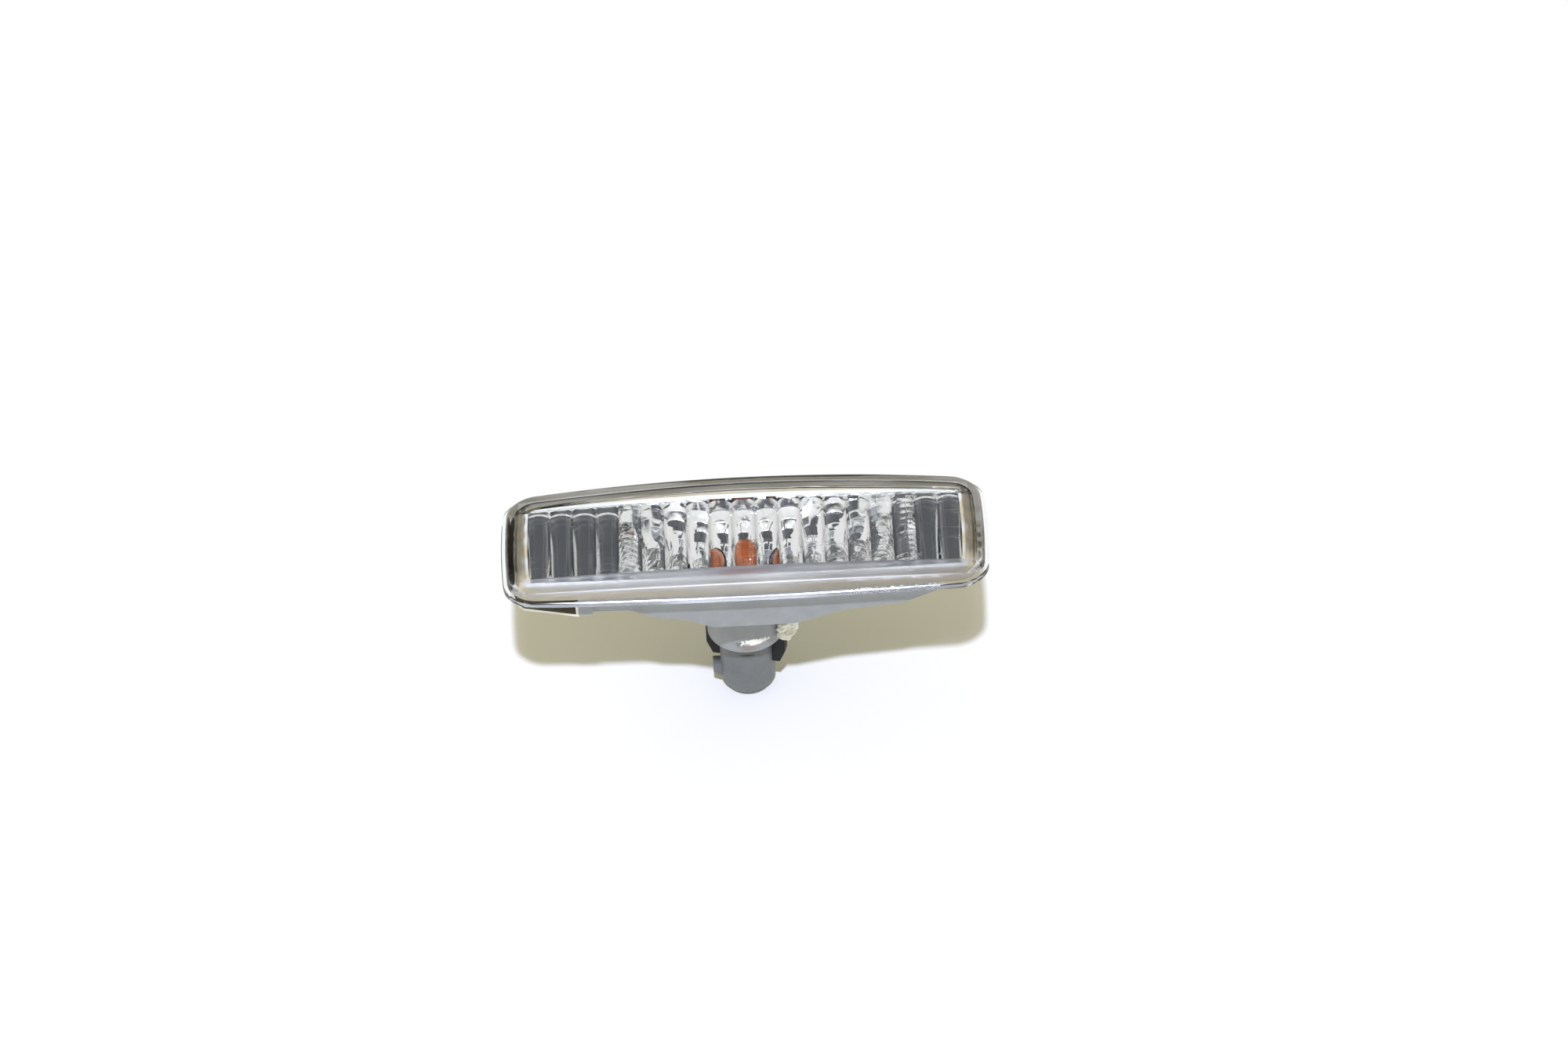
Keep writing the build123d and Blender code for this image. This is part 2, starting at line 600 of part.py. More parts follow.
def build_bulb_glass():
    glass = round_bulb(0, BULB_SHOULDER, DOME_OUTER_STEPS)
    stand = (Align.CENTER, Align.CENTER, Align.MIN)
    wedge = Box(WEDGE_WIDTH, WEDGE_THICKNESS, BULB_SHOULDER + BULB_SHOULDER_RADIUS - BULB_BASE, align=stand)
    wedge = chamfer(wedge.edges().group_by(Axis.Z)[0], WEDGE_CHAMFER)
    glass += BULB_AXIS * Pos(0, 0, BULB_BASE) * wedge
    glass -= round_bulb(BULB_WALL, BULB_SHOULDER + 2 * BULB_WALL, DOME_INNER_STEPS)
    hole = extrude(RegularPolygon(LEAD_RADIUS + LEAD_CLEARANCE, LEAD_SIDES), LEAD_TOP - BULB_BASE)
    for side in (-1, 1):
        glass -= BULB_AXIS * Pos(side * LEAD_SPACING / 2, 0, BULB_BASE) * hole
    return glass


def build_bulb_lead(side):
    # up the middle of the wedge to the filament, and folded back along one face of it
    x = side * LEAD_SPACING / 2
    face_y = -side * LEAD_FACE_Y
    lowest = BULB_BASE - LEAD_FACE_Y / 2
    top = (x, face_y, BULB_BASE + LEAD_RETURN)
    wire = Polyline((x, 0, LEAD_TOP), (x, 0, lowest), (x, face_y, lowest), top)
    section = Plane(origin=(x, 0, LEAD_TOP), z_dir=(0, 0, -1)) * RegularPolygon(LEAD_RADIUS, LEAD_SIDES)
    return BULB_AXIS * sweep(section, path=wire, transition=Transition.RIGHT)


def build_bulb_filament():
    length = LEAD_SPACING - 2 * (LEAD_RADIUS + FILAMENT_GAP)
    bar = extrude(RegularPolygon(FILAMENT_RADIUS, FILAMENT_SIDES), length / 2, both=True)
    return BULB_AXIS * Pos(0, 0, LEAD_TOP - FILAMENT_RADIUS) * Rot(0, 90, 0) * bar


def main():
    nodes = {
        "lens": build_lens(),
        "housing": build_housing(),
        "reflector": build_reflector(),
        "retaining_spring": build_retaining_spring(),
        "bulb_socket": build_bulb_socket(),
        "plug_shroud": build_plug_shroud(),
        "holder_seal": build_holder_seal(),
        "contact_left": contact_strip(-1),
        "contact_right": contact_strip(1),
        "bulb_glass": build_bulb_glass(),
        "bulb_lead_left": build_bulb_lead(-1),
        "bulb_lead_right": build_bulb_lead(1),
        "bulb_filament": build_bulb_filament(),
    }
    os.makedirs("parts", exist_ok=True)
    for name, shape in nodes.items():
        export_step(shape, f"parts/{name}.step")


if __name__ == "__main__":
    main()
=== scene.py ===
"""Looks of a car's side repeater lamp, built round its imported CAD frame. Lengths are in metres."""

import math
from functools import reduce

import bmesh
import bpy
from bpy.props import FloatProperty, FloatVectorProperty, IntProperty, PointerProperty
from mathutils import Matrix, Vector


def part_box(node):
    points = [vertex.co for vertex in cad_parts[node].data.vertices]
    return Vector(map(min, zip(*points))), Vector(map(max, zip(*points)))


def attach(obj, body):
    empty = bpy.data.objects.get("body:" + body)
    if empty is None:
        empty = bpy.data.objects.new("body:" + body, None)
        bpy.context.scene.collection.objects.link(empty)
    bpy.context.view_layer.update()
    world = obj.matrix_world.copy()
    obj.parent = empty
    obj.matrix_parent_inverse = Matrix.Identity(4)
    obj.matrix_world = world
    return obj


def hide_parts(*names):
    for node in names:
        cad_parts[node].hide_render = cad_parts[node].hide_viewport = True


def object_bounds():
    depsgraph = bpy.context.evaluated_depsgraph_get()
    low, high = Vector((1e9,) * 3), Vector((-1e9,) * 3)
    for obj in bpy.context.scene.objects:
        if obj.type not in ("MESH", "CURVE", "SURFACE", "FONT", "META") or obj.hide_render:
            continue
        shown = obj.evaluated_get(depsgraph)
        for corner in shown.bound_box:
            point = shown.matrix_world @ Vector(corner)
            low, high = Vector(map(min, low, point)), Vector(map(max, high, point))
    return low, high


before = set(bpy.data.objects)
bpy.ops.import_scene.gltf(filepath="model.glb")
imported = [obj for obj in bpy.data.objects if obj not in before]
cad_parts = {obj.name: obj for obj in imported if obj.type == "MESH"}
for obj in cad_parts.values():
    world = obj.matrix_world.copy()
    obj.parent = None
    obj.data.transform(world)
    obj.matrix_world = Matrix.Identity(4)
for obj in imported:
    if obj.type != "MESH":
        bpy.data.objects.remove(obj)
CAD_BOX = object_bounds()

bl_info = {
    "name": "Side repeater lamp",
    "version": (1, 0, 0),
    "blender": (4, 5, 0),
    "location": "View3D > Sidebar > Lamp",
    "description": "Models the lens, reflector, bulb and finishes of a side repeater lamp",
    "category": "Object",
}

LENS_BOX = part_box("lens")
REFLECTOR_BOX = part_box("reflector")
BULB_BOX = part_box("bulb_glass")
BULB_X = (BULB_BOX[0].x + BULB_BOX[1].x) / 2
CLOSE = 1e-6
SEAM = 10 * CLOSE
FACING = 0.9

# Steps and limits of the modelling
CORNER_STEPS = 16
OUTLINE_CUTS = 48
OUTLINE_CAGE = (33, 11, 1)
CROWN_CAGE = (33, 3, 2)
CROWN_STRIPS = 30
SHOULDER_STEPS = 12
SWING_FADE = 4
PILLOW_RISES = (0.14, 0.08, 0.03)
BOWL_MIDDLE = 0.002
BOWL_REACH = 0.008
DRILL = {"vertices": 64, "depth": 0.03, "location": (BULB_X, 0, -0.01)}


def metres(name, description, default):
    return FloatProperty(name=name, description=description, default=default, unit="LENGTH", precision=5)


def rgb(name, description, default):
    return FloatVectorProperty(
        name=name, description=description, default=default, size=3, subtype="COLOR", min=0.0, max=1.0
    )


def degrees(name, description, default):
    return FloatProperty(name=name, description=description, default=math.radians(default), subtype="ANGLE")


def number(name, description, default, least=1):
    return IntProperty(name=name, description=description, default=default, min=least)


class LensSizes(bpy.types.PropertyGroup):
    """Sizes of the clear lens."""

    length: metres("Length", "Flange's length", LENS_BOX[1].x - LENS_BOX[0].x - 2 * CLOSE)
    height: metres("Height", "Flange's height", 2 * min(-LENS_BOX[0].y, LENS_BOX[1].y) - 2 * CLOSE)
    far_radius: metres("Far side radius", "Bow of the far long side", 0.580)
    near_radius: metres("Near side radius", "Bow of the near long side", 1.400)
    end_radius: metres("End radius", "Bow of both ends", 0.170)
    corner: metres("Corner radius", "Rounding of the flange's corners", 0.007)
    flange: metres("Flange thickness", "Height of the flange's edge", 0.0013)
    edge_break: metres("Edge break", "Small slope on the flange's upper edge", 0.0002)
    ledge: metres("Ledge", "Width of the flange outside the wall", 0.0010)
    crest: metres("Crest", "Height of the front at its middle", LENS_BOX[1].z)
    crown: metres("Crown radius", "Bow of the front along the lamp", 1.100)
    border: metres("Border", "Width of the sloping border", 0.0044)
    border_drop: metres("Border drop", "Fall of the sloping border", 0.0005)
    shoulder: metres("Shoulder radius", "Rounding between wall and border", 0.0013)
    wall: metres("Front wall", "Thickness of the front outside the flutes", 0.0012)
    side_wall: metres("Side wall", "Thickness of the upright wall", 0.0020)
    inner_border: metres("Inner border", "Width of the slope inside", 0.0032)
    inner_drop: metres("Inner drop", "Fall of the slope inside", 0.0012)
    flutes: number("Flutes", "Number of round ribs inside", 19)
    pitch: metres("Flute pitch", "Width of one flute", 0.00523)
    bulge: metres("Flute bulge", "How far a flute stands out from its valleys", 0.0008)
    root: metres("Flute root", "Depth of the valleys below the border", 0.0005)
    flute_near: metres("Flutes' near end", "Near end of the flutes", -0.0120)
    flute_far: metres("Flutes' far end", "Far end of the flutes", 0.0107)
    flute_steps: number("Flute steps", "Strips across a flute", 12, least=2)


class ReflectorSizes(bpy.types.PropertyGroup):
    """Sizes of the plated reflector."""

    inset: metres("Inset", "Distance from the flange's edge", 0.0045)
    front: metres("Front", "Height of the plate's front face", REFLECTOR_BOX[1].z)
    thickness: metres("Thickness", "Thickness of the plate and bowl", 0.0006)
    left: metres("Bowl left", "Left end of the bowl", -0.0288)
    right: metres("Bowl right", "Right end of the bowl", 0.0387)
    half_height: metres("Bowl half height", "Half of the bowl's height", 0.013)
    depth: metres("Bowl depth", "Depth at the bulb", 0.0086)
    columns: number("Columns", "Facets along the lamp", 44, least=2)
    rows: number("Rows", "Facets across the lamp", 14, least=2)
    pillow: metres("Pillow step", "Width of one of a facet's steps", 0.00022)
    hole: metres("Bulb hole", "Radius of the bulb's hole", 0.006)
    swing: metres("Swing", "Height of the waves that aim the facets by turns", 0.00016)
    swing_length: metres("Swing length", "Length of those waves along the lamp", 0.0105)
    swing_width: metres("Swing width", "Length of those waves across the lamp", 0.0095)


class BulbSizes(bpy.types.PropertyGroup):
    """Sizes of the wedge-base bulb."""

    radius: metres("Radius", "Radius of the glass", 0.005)
    shoulder_radius: metres("Shoulder radius", "Rounding at the glass's foot", 0.0024)
    wall: metres("Wall", "Thickness of the glass", 0.0006)
    wedge_length: metres("Wedge length", "Length of the flat base", 0.010)
    wedge_width: metres("Wedge width", "Width of the flat base", 0.0092)
    wedge_thickness: metres("Wedge thickness", "Thickness of the flat base", 0.0022)
    wedge_edge: metres("Wedge edge", "Rounding of the flat base's edges", 0.0004)
    lead_spacing: metres("Lead spacing", "Distance between the leads", 0.0032)
    lead_radius: metres("Lead radius", "Radius of a lead wire", 0.0002)
    lead_return: metres("Lead return", "Length of a lead's folded end", 0.0058)
    coil_radius: metres("Coil radius", "Radius of the filament's coil", 0.0002)
    coil_wire: metres("Coil wire", "Radius of the filament's wire", 0.00005)
    coil_turns: number("Coil turns", "Turns of the filament", 11)


class LampColours(bpy.types.PropertyGroup):
    """Colours of the finishes."""

    clear: rgb("Clear plastic", "Lens", (0.98, 0.985, 0.98))
    grey: rgb("Grey plastic", "Housing", (0.278, 0.295, 0.311))
    # Painted shade: the floor's shadow as seen through the lens's thick border.
    rim: rgb("Rim", "Thick border of the lens", (0.062, 0.056, 0.036))
    plating: rgb("Plating", "Reflector", (0.93, 0.935, 0.94))
    # The three margin colours are painted light and shade seen through the lens's rim: tan and grey for the
    # floor's shadow, pale on the far side for a light band.
    margin: rgb("Margin shading", "Unplated edge round the reflector", (0.46, 0.39, 0.25))
    near_margin: rgb("Near margin", "Unplated edge on the near side", (0.44, 0.43, 0.39))
    far_margin: rgb("Far margin", "Unplated edge on the far side", (0.64, 0.64, 0.59))
    # Painted shade: the dark inside of the spring's fold.
    fold_shade: rgb("Fold shade", "Painted shade in the spring's fold", (0.06, 0.042, 0.012))
    cream: rgb("Cream plastic", "Spring", (0.80, 0.79, 0.70))
    black: rgb("Black plastic", "Bulb socket", (0.010, 0.010, 0.009))
    dark_grey: rgb("Dark grey plastic", "Plug shroud", (0.136, 0.148, 0.151))
    rubber: rgb("Rubber", "Seal", (0.02, 0.02, 0.02))
    brass: rgb("Brass", "Contacts", (0.72, 0.52, 0.24))
    amber: rgb("Amber", "Bulb's glass", (0.68, 0.20, 0.04))
    wire: rgb("Wire", "Leads and filament", (0.55, 0.54, 0.52))
    sealant: rgb("Sealant", "Dried sealant and its smears", (0.92, 0.92, 0.85))


class StageValues(bpy.types.PropertyGroup):
    """Camera and light."""

    lens_mm: FloatProperty(name="Focal length", description="Camera's lens in mm", default=154.8)
    distance: metres("Distance", "Camera's distance", 1.548)
    elevation: degrees("Elevation", "Camera's height angle", 43.0)
    roll: degrees("Roll", "Camera's tilt in the picture", 2.8)
    aim_right: metres("Aim right", "Picture's middle, right of the origin", 0.0090)
    aim_up: metres("Aim up", "Picture's middle, above the origin", 0.00441)
    key_tilt: degrees("Key tilt", "Key light's lean to the camera", 31.2)
    key_angle: degrees("Key size", "Key light's angular size", 2.4)
    key_strength: FloatProperty(name="Key strength", description="Key light's strength", default=3.04)
    key_colour: rgb("Key colour", "Key light", (0.766, 0.803, 1.0))
    ambient: rgb("Ambient", "Light from all round", (0.52, 0.488, 0.322))
    floor: rgb("Floor", "Floor", (0.90, 0.90, 0.90))


GROUPS = {
    "lamp_lens": LensSizes,
    "lamp_reflector": ReflectorSizes,
    "lamp_bulb": BulbSizes,
    "lamp_colours": LampColours,
    "lamp_stage": StageValues,
}


# Modelling by hand


def everything():
    bpy.ops.mesh.select_all(action="SELECT")


def start(add, **settings):
    """Add a primitive with nothing else selected, and open it for editing."""
    bpy.ops.object.select_all(action="DESELECT")
    add(**settings)
    bpy.ops.object.mode_set(mode="EDIT")
    bpy.ops.mesh.select_mode(type="VERT")
    everything()
    return bpy.context.object


def reopen(piece):
    """Open a piece for editing again, as the only one selected, with all of its mesh."""
    only(piece)
    bpy.ops.object.mode_set(mode="EDIT")
    everything()


def close():
    bpy.ops.object.mode_set(mode="OBJECT")


def only(piece, *others):
    """Select a piece, with others if there are any, and make it the active one."""
    bpy.ops.object.select_all(action="DESELECT")
    for other in others:
        other.select_set(True)
    piece.select_set(True)
    bpy.context.view_layer.objects.active = piece


def pick(kind, test):
    """Select the edited mesh's vertices, edges or faces that pass a test."""
    bpy.ops.mesh.select_mode(type=kind)
    bpy.ops.mesh.select_all(action="DESELECT")
    mesh = bpy.context.edit_object.data
    form = bmesh.from_edit_mesh(mesh)
    items = {"VERT": form.verts, "EDGE": form.edges, "FACE": form.faces}[kind]
    chosen = [item for item in items if test(item)]
    if not chosen:
        raise RuntimeError(f"nothing to select on {bpy.context.edit_object.name}")
    for item in chosen:
        item.select_set(True)
    form.select_flush_mode()
    bmesh.update_edit_mesh(mesh)


def move(x=0.0, y=0.0, z=0.0):
    bpy.ops.transform.translate(value=(x, y, z))


def raise_face(rise):
    bpy.ops.mesh.extrude_region_move(TRANSFORM_OT_translate={"value": (0, 0, rise)})


def climb(points, facing=1):
    """Take the selected face along (inset, height) points by insets and extrusions."""
    for (inset, low), (next_inset, high) in zip(points, points[1:]):
        if next_inset - inset < CLOSE:
            raise_face(high - low)
        else:
            bpy.ops.mesh.inset(thickness=next_inset - inset, depth=facing * (high - low))


def settle_normals(distance=CLOSE):
    everything()
    bpy.ops.mesh.remove_doubles(threshold=distance)
    bpy.ops.mesh.normals_make_consistent(inside=False)


def smooth(piece, angle_deg):
    only(piece)
    bpy.ops.object.shade_smooth_by_angle(angle=math.radians(angle_deg))


def use_modifier(piece, kind, **settings):
    """Add a modifier with its settings and apply it."""
    only(piece)
    modifier = piece.modifiers.new(kind.lower(), kind)
    for name, value in settings.items():
        setattr(modifier, name, value)
    bpy.ops.object.modifier_apply(modifier=modifier.name)


def cut_away(piece, tool, operation="DIFFERENCE"):
    use_modifier(piece, "BOOLEAN", operation=operation, object=tool, solver="EXACT")
    bpy.data.objects.remove(tool)


def join(piece, *others):
    only(piece, *others)
    bpy.ops.object.join()


def cage(piece, counts, rule, group=""):
    """Shape a piece through a lattice whose points are moved by a rule."""
    places = [vertex.co for vertex in piece.data.vertices]
    low = Vector([min(place[axis] for place in places) for axis in range(3)])
    high = Vector([max(place[axis] for place in places) for axis in range(3)])
    bpy.ops.object.select_all(action="DESELECT")
    bpy.ops.object.add(type="LATTICE", location=(low + high) / 2)
    lattice = bpy.context.object
    data = lattice.data
    data.points_u, data.points_v, data.points_w = counts
    data.interpolation_type_u = data.interpolation_type_v = "KEY_CATMULL_ROM"
    data.interpolation_type_w = "KEY_LINEAR"
    reach = [max(abs(point.co[axis]) for point in data.points) or 0.5 for axis in range(3)]
    lattice.scale = [max((high[axis] - low[axis]) / 2 / reach[axis], 0.001) for axis in range(3)]
    bpy.context.view_layer.update()
    back = lattice.matrix_world.inverted()
    for point in data.points:
        point.co_deform = back @ rule(lattice.matrix_world @ point.co)
    use_modifier(piece, "LATTICE", object=lattice, vertex_group=group)
    bpy.data.objects.remove(lattice)


def sagitta(radius, reach):
    return radius - math.sqrt(radius**2 - reach**2)


def bowed_outline(name, inset, height):
    """A flat face with the flange's outline, moved inwards by an inset."""
    sizes = bpy.context.scene.lamp_lens
    half_length, half_height = sizes.length / 2 - inset, sizes.height / 2 - inset
    piece = start(bpy.ops.mesh.primitive_plane_add, size=1)
    piece.name = piece.data.name = name
    bpy.ops.transform.resize(value=(2 * half_length, 2 * half_height, 1))
    corner = sizes.corner - inset
    bpy.ops.mesh.bevel(offset=corner, segments=CORNER_STEPS, affect="VERTICES", clamp_overlap=False)
    pick("EDGE", lambda edge: edge.calc_length() > 2 * sizes.corner)
    bpy.ops.mesh.subdivide(number_cuts=OUTLINE_CUTS)
    close()

    def bow(place):
        side = sizes.far_radius if place.y > 0 else sizes.near_radius
        across = place.y * (1 - sagitta(side - inset, place.x) / half_height)
        along = place.x * (1 - sagitta(sizes.end_radius - inset, across) / half_length)
        return Vector((along, across, place.z))

    cage(piece, OUTLINE_CAGE, bow)
    reopen(piece)
    move(z=height)
    close()
    return piece


def shoulder_points(sizes):
    """The lens's outside from the flange to the crest, as (inset, height) points."""
    slope = math.atan2(sizes.border_drop, sizes.border)
    turn = math.pi / 2 - slope
    edge = sizes.crest - sizes.border_drop
    start_z = edge - sizes.shoulder * math.tan(turn / 2)
    points = [
        (0.0, 0.0),
        (0.0, sizes.flange - sizes.edge_break),
        (sizes.edge_break, sizes.flange),
        (sizes.ledge, sizes.flange),
    ]
    for step in range(SHOULDER_STEPS + 1):
        angle = turn * step / SHOULDER_STEPS
        inset = sizes.ledge + sizes.shoulder * (1 - math.cos(angle))
        points.append((inset, start_z + sizes.shoulder * math.sin(angle)))
    points.append((sizes.ledge + sizes.border, sizes.crest))
    return points


def even_places(half, count):
    """Places from one side to the other, at even steps."""
    return [-half + 2 * half * step / count for step in range(count + 1)]


def cut_columns(test, places):
    """Cut the faces that pass a test into strips across the lamp."""
    for place in places:
        pick("FACE", test)
        bpy.ops.mesh.bisect(plane_co=(place, 0, 0), plane_no=(1, 0, 0))


def at_height(height):
    return lambda face: all(abs(vertex.co.z - height) < CLOSE for vertex in face.verts)


def add_flutes(sizes, ceiling):
    """Sink a block into the ceiling from end to end and push its strips out into round ribs."""
    half = sizes.flutes * sizes.pitch / 2
    strips = even_places(half, sizes.flutes * sizes.flute_steps)
    for place in (sizes.flute_near, sizes.flute_far):
        pick("FACE", at_height(ceiling))
        bpy.ops.mesh.bisect(plane_co=(0, place, 0), plane_no=(0, 1, 0))

    def in_block(face):
        middle = face.calc_center_bounds()
        return at_height(ceiling)(face) and sizes.flute_near < middle.y < sizes.flute_far

    cut_columns(in_block, strips)
    pick("FACE", in_block)
    raise_face(-sizes.root)
    root = ceiling - sizes.root

    def step_of(vertex):
        return round((vertex.co.x + half) / sizes.pitch * sizes.flute_steps) % sizes.flute_steps

    for step in range(1, sizes.flute_steps // 2 + 1):
        share = 1 - (1 - 2 * step / sizes.flute_steps) ** 2
        pick(
            "VERT",
            lambda vertex: abs(vertex.co.z - root) < CLOSE
            and step_of(vertex) in (step, sizes.flute_steps - step),
        )
        move(z=-sizes.bulge * share)


def build_lens():
    sizes = bpy.context.scene.lamp_lens
    lens = bowed_outline("clear_lens", 0.0, 0.0)
    reopen(lens)
    outside = shoulder_points(sizes)
    climb(outside[:2])
    settle_normals()
    pick("FACE", lambda face: face.normal.z > FACING)
    climb(outside[1:])
    cavity_inset = sizes.ledge + sizes.side_wall
    ceiling = sizes.crest - sizes.wall
    pick("FACE", lambda face: face.normal.z < -FACING)
    climb(
        [
            (0.0, 0.0),
            (cavity_inset, 0.0),
            (cavity_inset, ceiling - sizes.inner_drop),
            (cavity_inset + sizes.inner_border, ceiling),
        ],
        facing=-1,
    )
    strips = even_places(sizes.flutes * sizes.pitch / 2, CROWN_STRIPS)
    cut_columns(at_height(sizes.crest), strips)
    add_flutes(sizes, ceiling)
    cut_columns(at_height(ceiling), strips)
    close()
    crown = lens.vertex_groups.new(name="crown")
    crown.add([v.index for v in lens.data.vertices if v.co.z > sizes.flange + CLOSE], 1.0, "REPLACE")
    cage(lens, CROWN_CAGE, lambda place: place - Vector((0, 0, sagitta(sizes.crown, place.x))), "crown")
    reopen(lens)
    settle_normals()
    close()
    smooth(lens, angle_deg=9)
    return lens


def build_bowl(sizes):
    """The bowl's faceted floor as a sheet."""
    bowl = start(
        bpy.ops.mesh.primitive_grid_add, x_subdivisions=sizes.columns, y_subdivisions=sizes.rows, size=1
    )
    bpy.ops.transform.resize(value=(sizes.right - sizes.left, 2 * sizes.half_height, 1))
    move(x=(sizes.left + sizes.right) / 2, z=sizes.front)
    close()

    def hollow(place):
        reach = (sizes.left if place.x < BULB_X else sizes.right) - BULB_X
        along = 1 - ((place.x - BULB_X) / reach) ** 2
        over = 1 - (place.y / sizes.half_height) ** 2
        wave = math.sin(2 * math.pi * place.x / sizes.swing_length)
        wave *= math.cos(2 * math.pi * place.y / sizes.swing_width)
        fade = min(1, SWING_FADE * along * over)
        return place - Vector((0, 0, sizes.depth * along * over + sizes.swing * wave * fade))

    cage(bowl, (sizes.columns + 1, sizes.rows + 1, 1), hollow)
    reopen(bowl)
    for rise in PILLOW_RISES:
        bpy.ops.mesh.inset(thickness=sizes.pillow, depth=sizes.pillow * rise, use_individual=True)
    close()
    return bowl


def build_reflector():
    sizes = bpy.context.scene.lamp_reflector
    sheet = bowed_outline("plated_reflector", sizes.inset, sizes.front)
    reopen(sheet)
    for place in (sizes.left, sizes.right):
        everything()
        bpy.ops.mesh.bisect(plane_co=(place, 0, 0), plane_no=(1, 0, 0))
    middle = (sizes.left + sizes.right) / 2
    for place in (-sizes.half_height, sizes.half_height):
        pick("FACE", lambda face: abs(face.calc_center_bounds().x - middle) < BOWL_MIDDLE)
        bpy.ops.mesh.bisect(plane_co=(0, place, 0), plane_no=(0, 1, 0))
    pick("FACE", lambda face: face.calc_center_bounds().xy.length < BOWL_REACH and len(face.verts) == 4)
    bpy.ops.mesh.delete(type="FACE")
    for length, count in ((sizes.right - sizes.left, sizes.columns), (2 * sizes.half_height, sizes.rows)):
        pick("EDGE", lambda edge: abs(edge.calc_length() - length) < CLOSE)
        bpy.ops.mesh.subdivide(number_cuts=count - 1)
    close()
    join(sheet, build_bowl(sizes))
    reopen(sheet)
    settle_normals(SEAM)
    close()
    use_modifier(sheet, "SOLIDIFY", thickness=sizes.thickness, offset=-1.0)
    drill = start(bpy.ops.mesh.primitive_cylinder_add, radius=sizes.hole, **DRILL)
    close()
    bpy.ops.object.transform_apply(location=True)
    cut_away(sheet, drill)
    reopen(sheet)
    bpy.ops.mesh.remove_doubles(threshold=CLOSE)
    bpy.ops.mesh.dissolve_degenerate(threshold=SEAM)
    pick("FACE", lambda face: len(face.verts) > 4)
    bpy.ops.mesh.quads_convert_to_tris(ngon_method="BEAUTY")
    close()
    smooth(sheet, angle_deg=30)
    return sheet


def lathe(name, points, steps):
    """Spin a chain of (radius, height) points round the bulb's axis."""
    piece = start(bpy.ops.mesh.primitive_plane_add, size=0.001)
    piece.name = piece.data.name = name
    bpy.ops.mesh.merge(type="CENTER")
    move(x=BULB_X + points[0][0], z=points[0][1])
    for (radius, height), (next_radius, next_height) in zip(points, points[1:]):
        step = (next_radius - radius, 0, next_height - height)
        bpy.ops.mesh.extrude_region_move(TRANSFORM_OT_translate={"value": step})
    everything()
    bpy.ops.mesh.spin(steps=steps, angle=2 * math.pi, center=(BULB_X, 0, 0), axis=(0, 0, 1))
    settle_normals()
    close()
    return piece


def arc_points(centre_radius, centre_z, radius, start_deg, end_deg, steps):
    points = []
    for step in range(steps + 1):
        angle = math.radians(start_deg + (end_deg - start_deg) * step / steps)
        across = max(centre_radius + radius * math.cos(angle), 0.0)
        points.append((across, centre_z + radius * math.sin(angle)))
    return points


def build_bulb_glass():
    sizes = bpy.context.scene.lamp_bulb
    base, tip = BULB_BOX[0].z, BULB_BOX[1].z
    foot = base + sizes.wedge_length
    corner = sizes.shoulder_radius
    profile = [(0.0, foot)]
    profile += arc_points(sizes.radius - corner, foot + corner, corner, -90, 0, steps=10)
    profile += arc_points(0, tip - sizes.radius, sizes.radius, 0, 90, steps=20)
    glass = lathe("bulb_glass_shell", profile, steps=48)
    use_modifier(glass, "SOLIDIFY", thickness=sizes.wall, offset=-1.0)
    wedge = start(bpy.ops.mesh.primitive_cube_add, size=1)
    wedge_height = sizes.wedge_length + corner / 2
    bpy.ops.transform.resize(value=(sizes.wedge_width, sizes.wedge_thickness, wedge_height))
    move(x=BULB_X, z=base + wedge_height / 2)
    bpy.ops.mesh.bevel(offset=sizes.wedge_edge, segments=3, affect="EDGES")
    close()
    cut_away(glass, wedge, "UNION")
    smooth(glass, angle_deg=30)
    return glass


def build_lead(name, side):
    """A lead wire: up the middle of the wedge, and folded back along one of its faces."""
    sizes = bpy.context.scene.lamp_bulb
    top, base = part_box(name)[1].z, BULB_BOX[0].z
    place = BULB_X + side * sizes.lead_spacing / 2
    fold = (sizes.wedge_thickness / 2 + sizes.lead_radius) / 2
    piece = start(
        bpy.ops.mesh.primitive_circle_add,
        vertices=12,
        radius=sizes.lead_radius,
        fill_type="NGON",
        location=(place, 0, top),
    )
    raise_face(base - top)
    turn = (place, -side * fold, base)
    bpy.ops.mesh.spin(steps=10, angle=math.pi, center=turn, axis=(side, 0, 0))
    raise_face(sizes.lead_return)
    settle_normals()
    close()
    bpy.ops.object.transform_apply(location=True)
    piece.name = piece.data.name = name + "_wire"
    smooth(piece, angle_deg=40)
    return piece


def build_filament():
    sizes = bpy.context.scene.lamp_bulb
    low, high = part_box("bulb_filament")
    middle = (low + high) / 2
    piece = start(
        bpy.ops.mesh.primitive_circle_add,
        vertices=8,
        radius=sizes.coil_wire,
        location=(0, 0, sizes.coil_radius),
        rotation=(math.pi / 2, 0, 0),
    )
    close()
    bpy.ops.object.transform_apply(location=True, rotation=True)
    pitch = (high.x - low.x - 2 * sizes.coil_wire) / sizes.coil_turns
    use_modifier(
        piece, "SCREW", axis="X", iterations=sizes.coil_turns, screw_offset=pitch, steps=16, render_steps=16
    )
    reopen(piece)
    move(x=low.x + sizes.coil_wire, y=middle.y, z=middle.z)
    pick("EDGE", lambda edge: edge.is_boundary)
    bpy.ops.mesh.edge_face_add()
    settle_normals()
    close()
    piece.name = piece.data.name = "bulb_filament_coil"
    smooth(piece, angle_deg=40)
    return piece


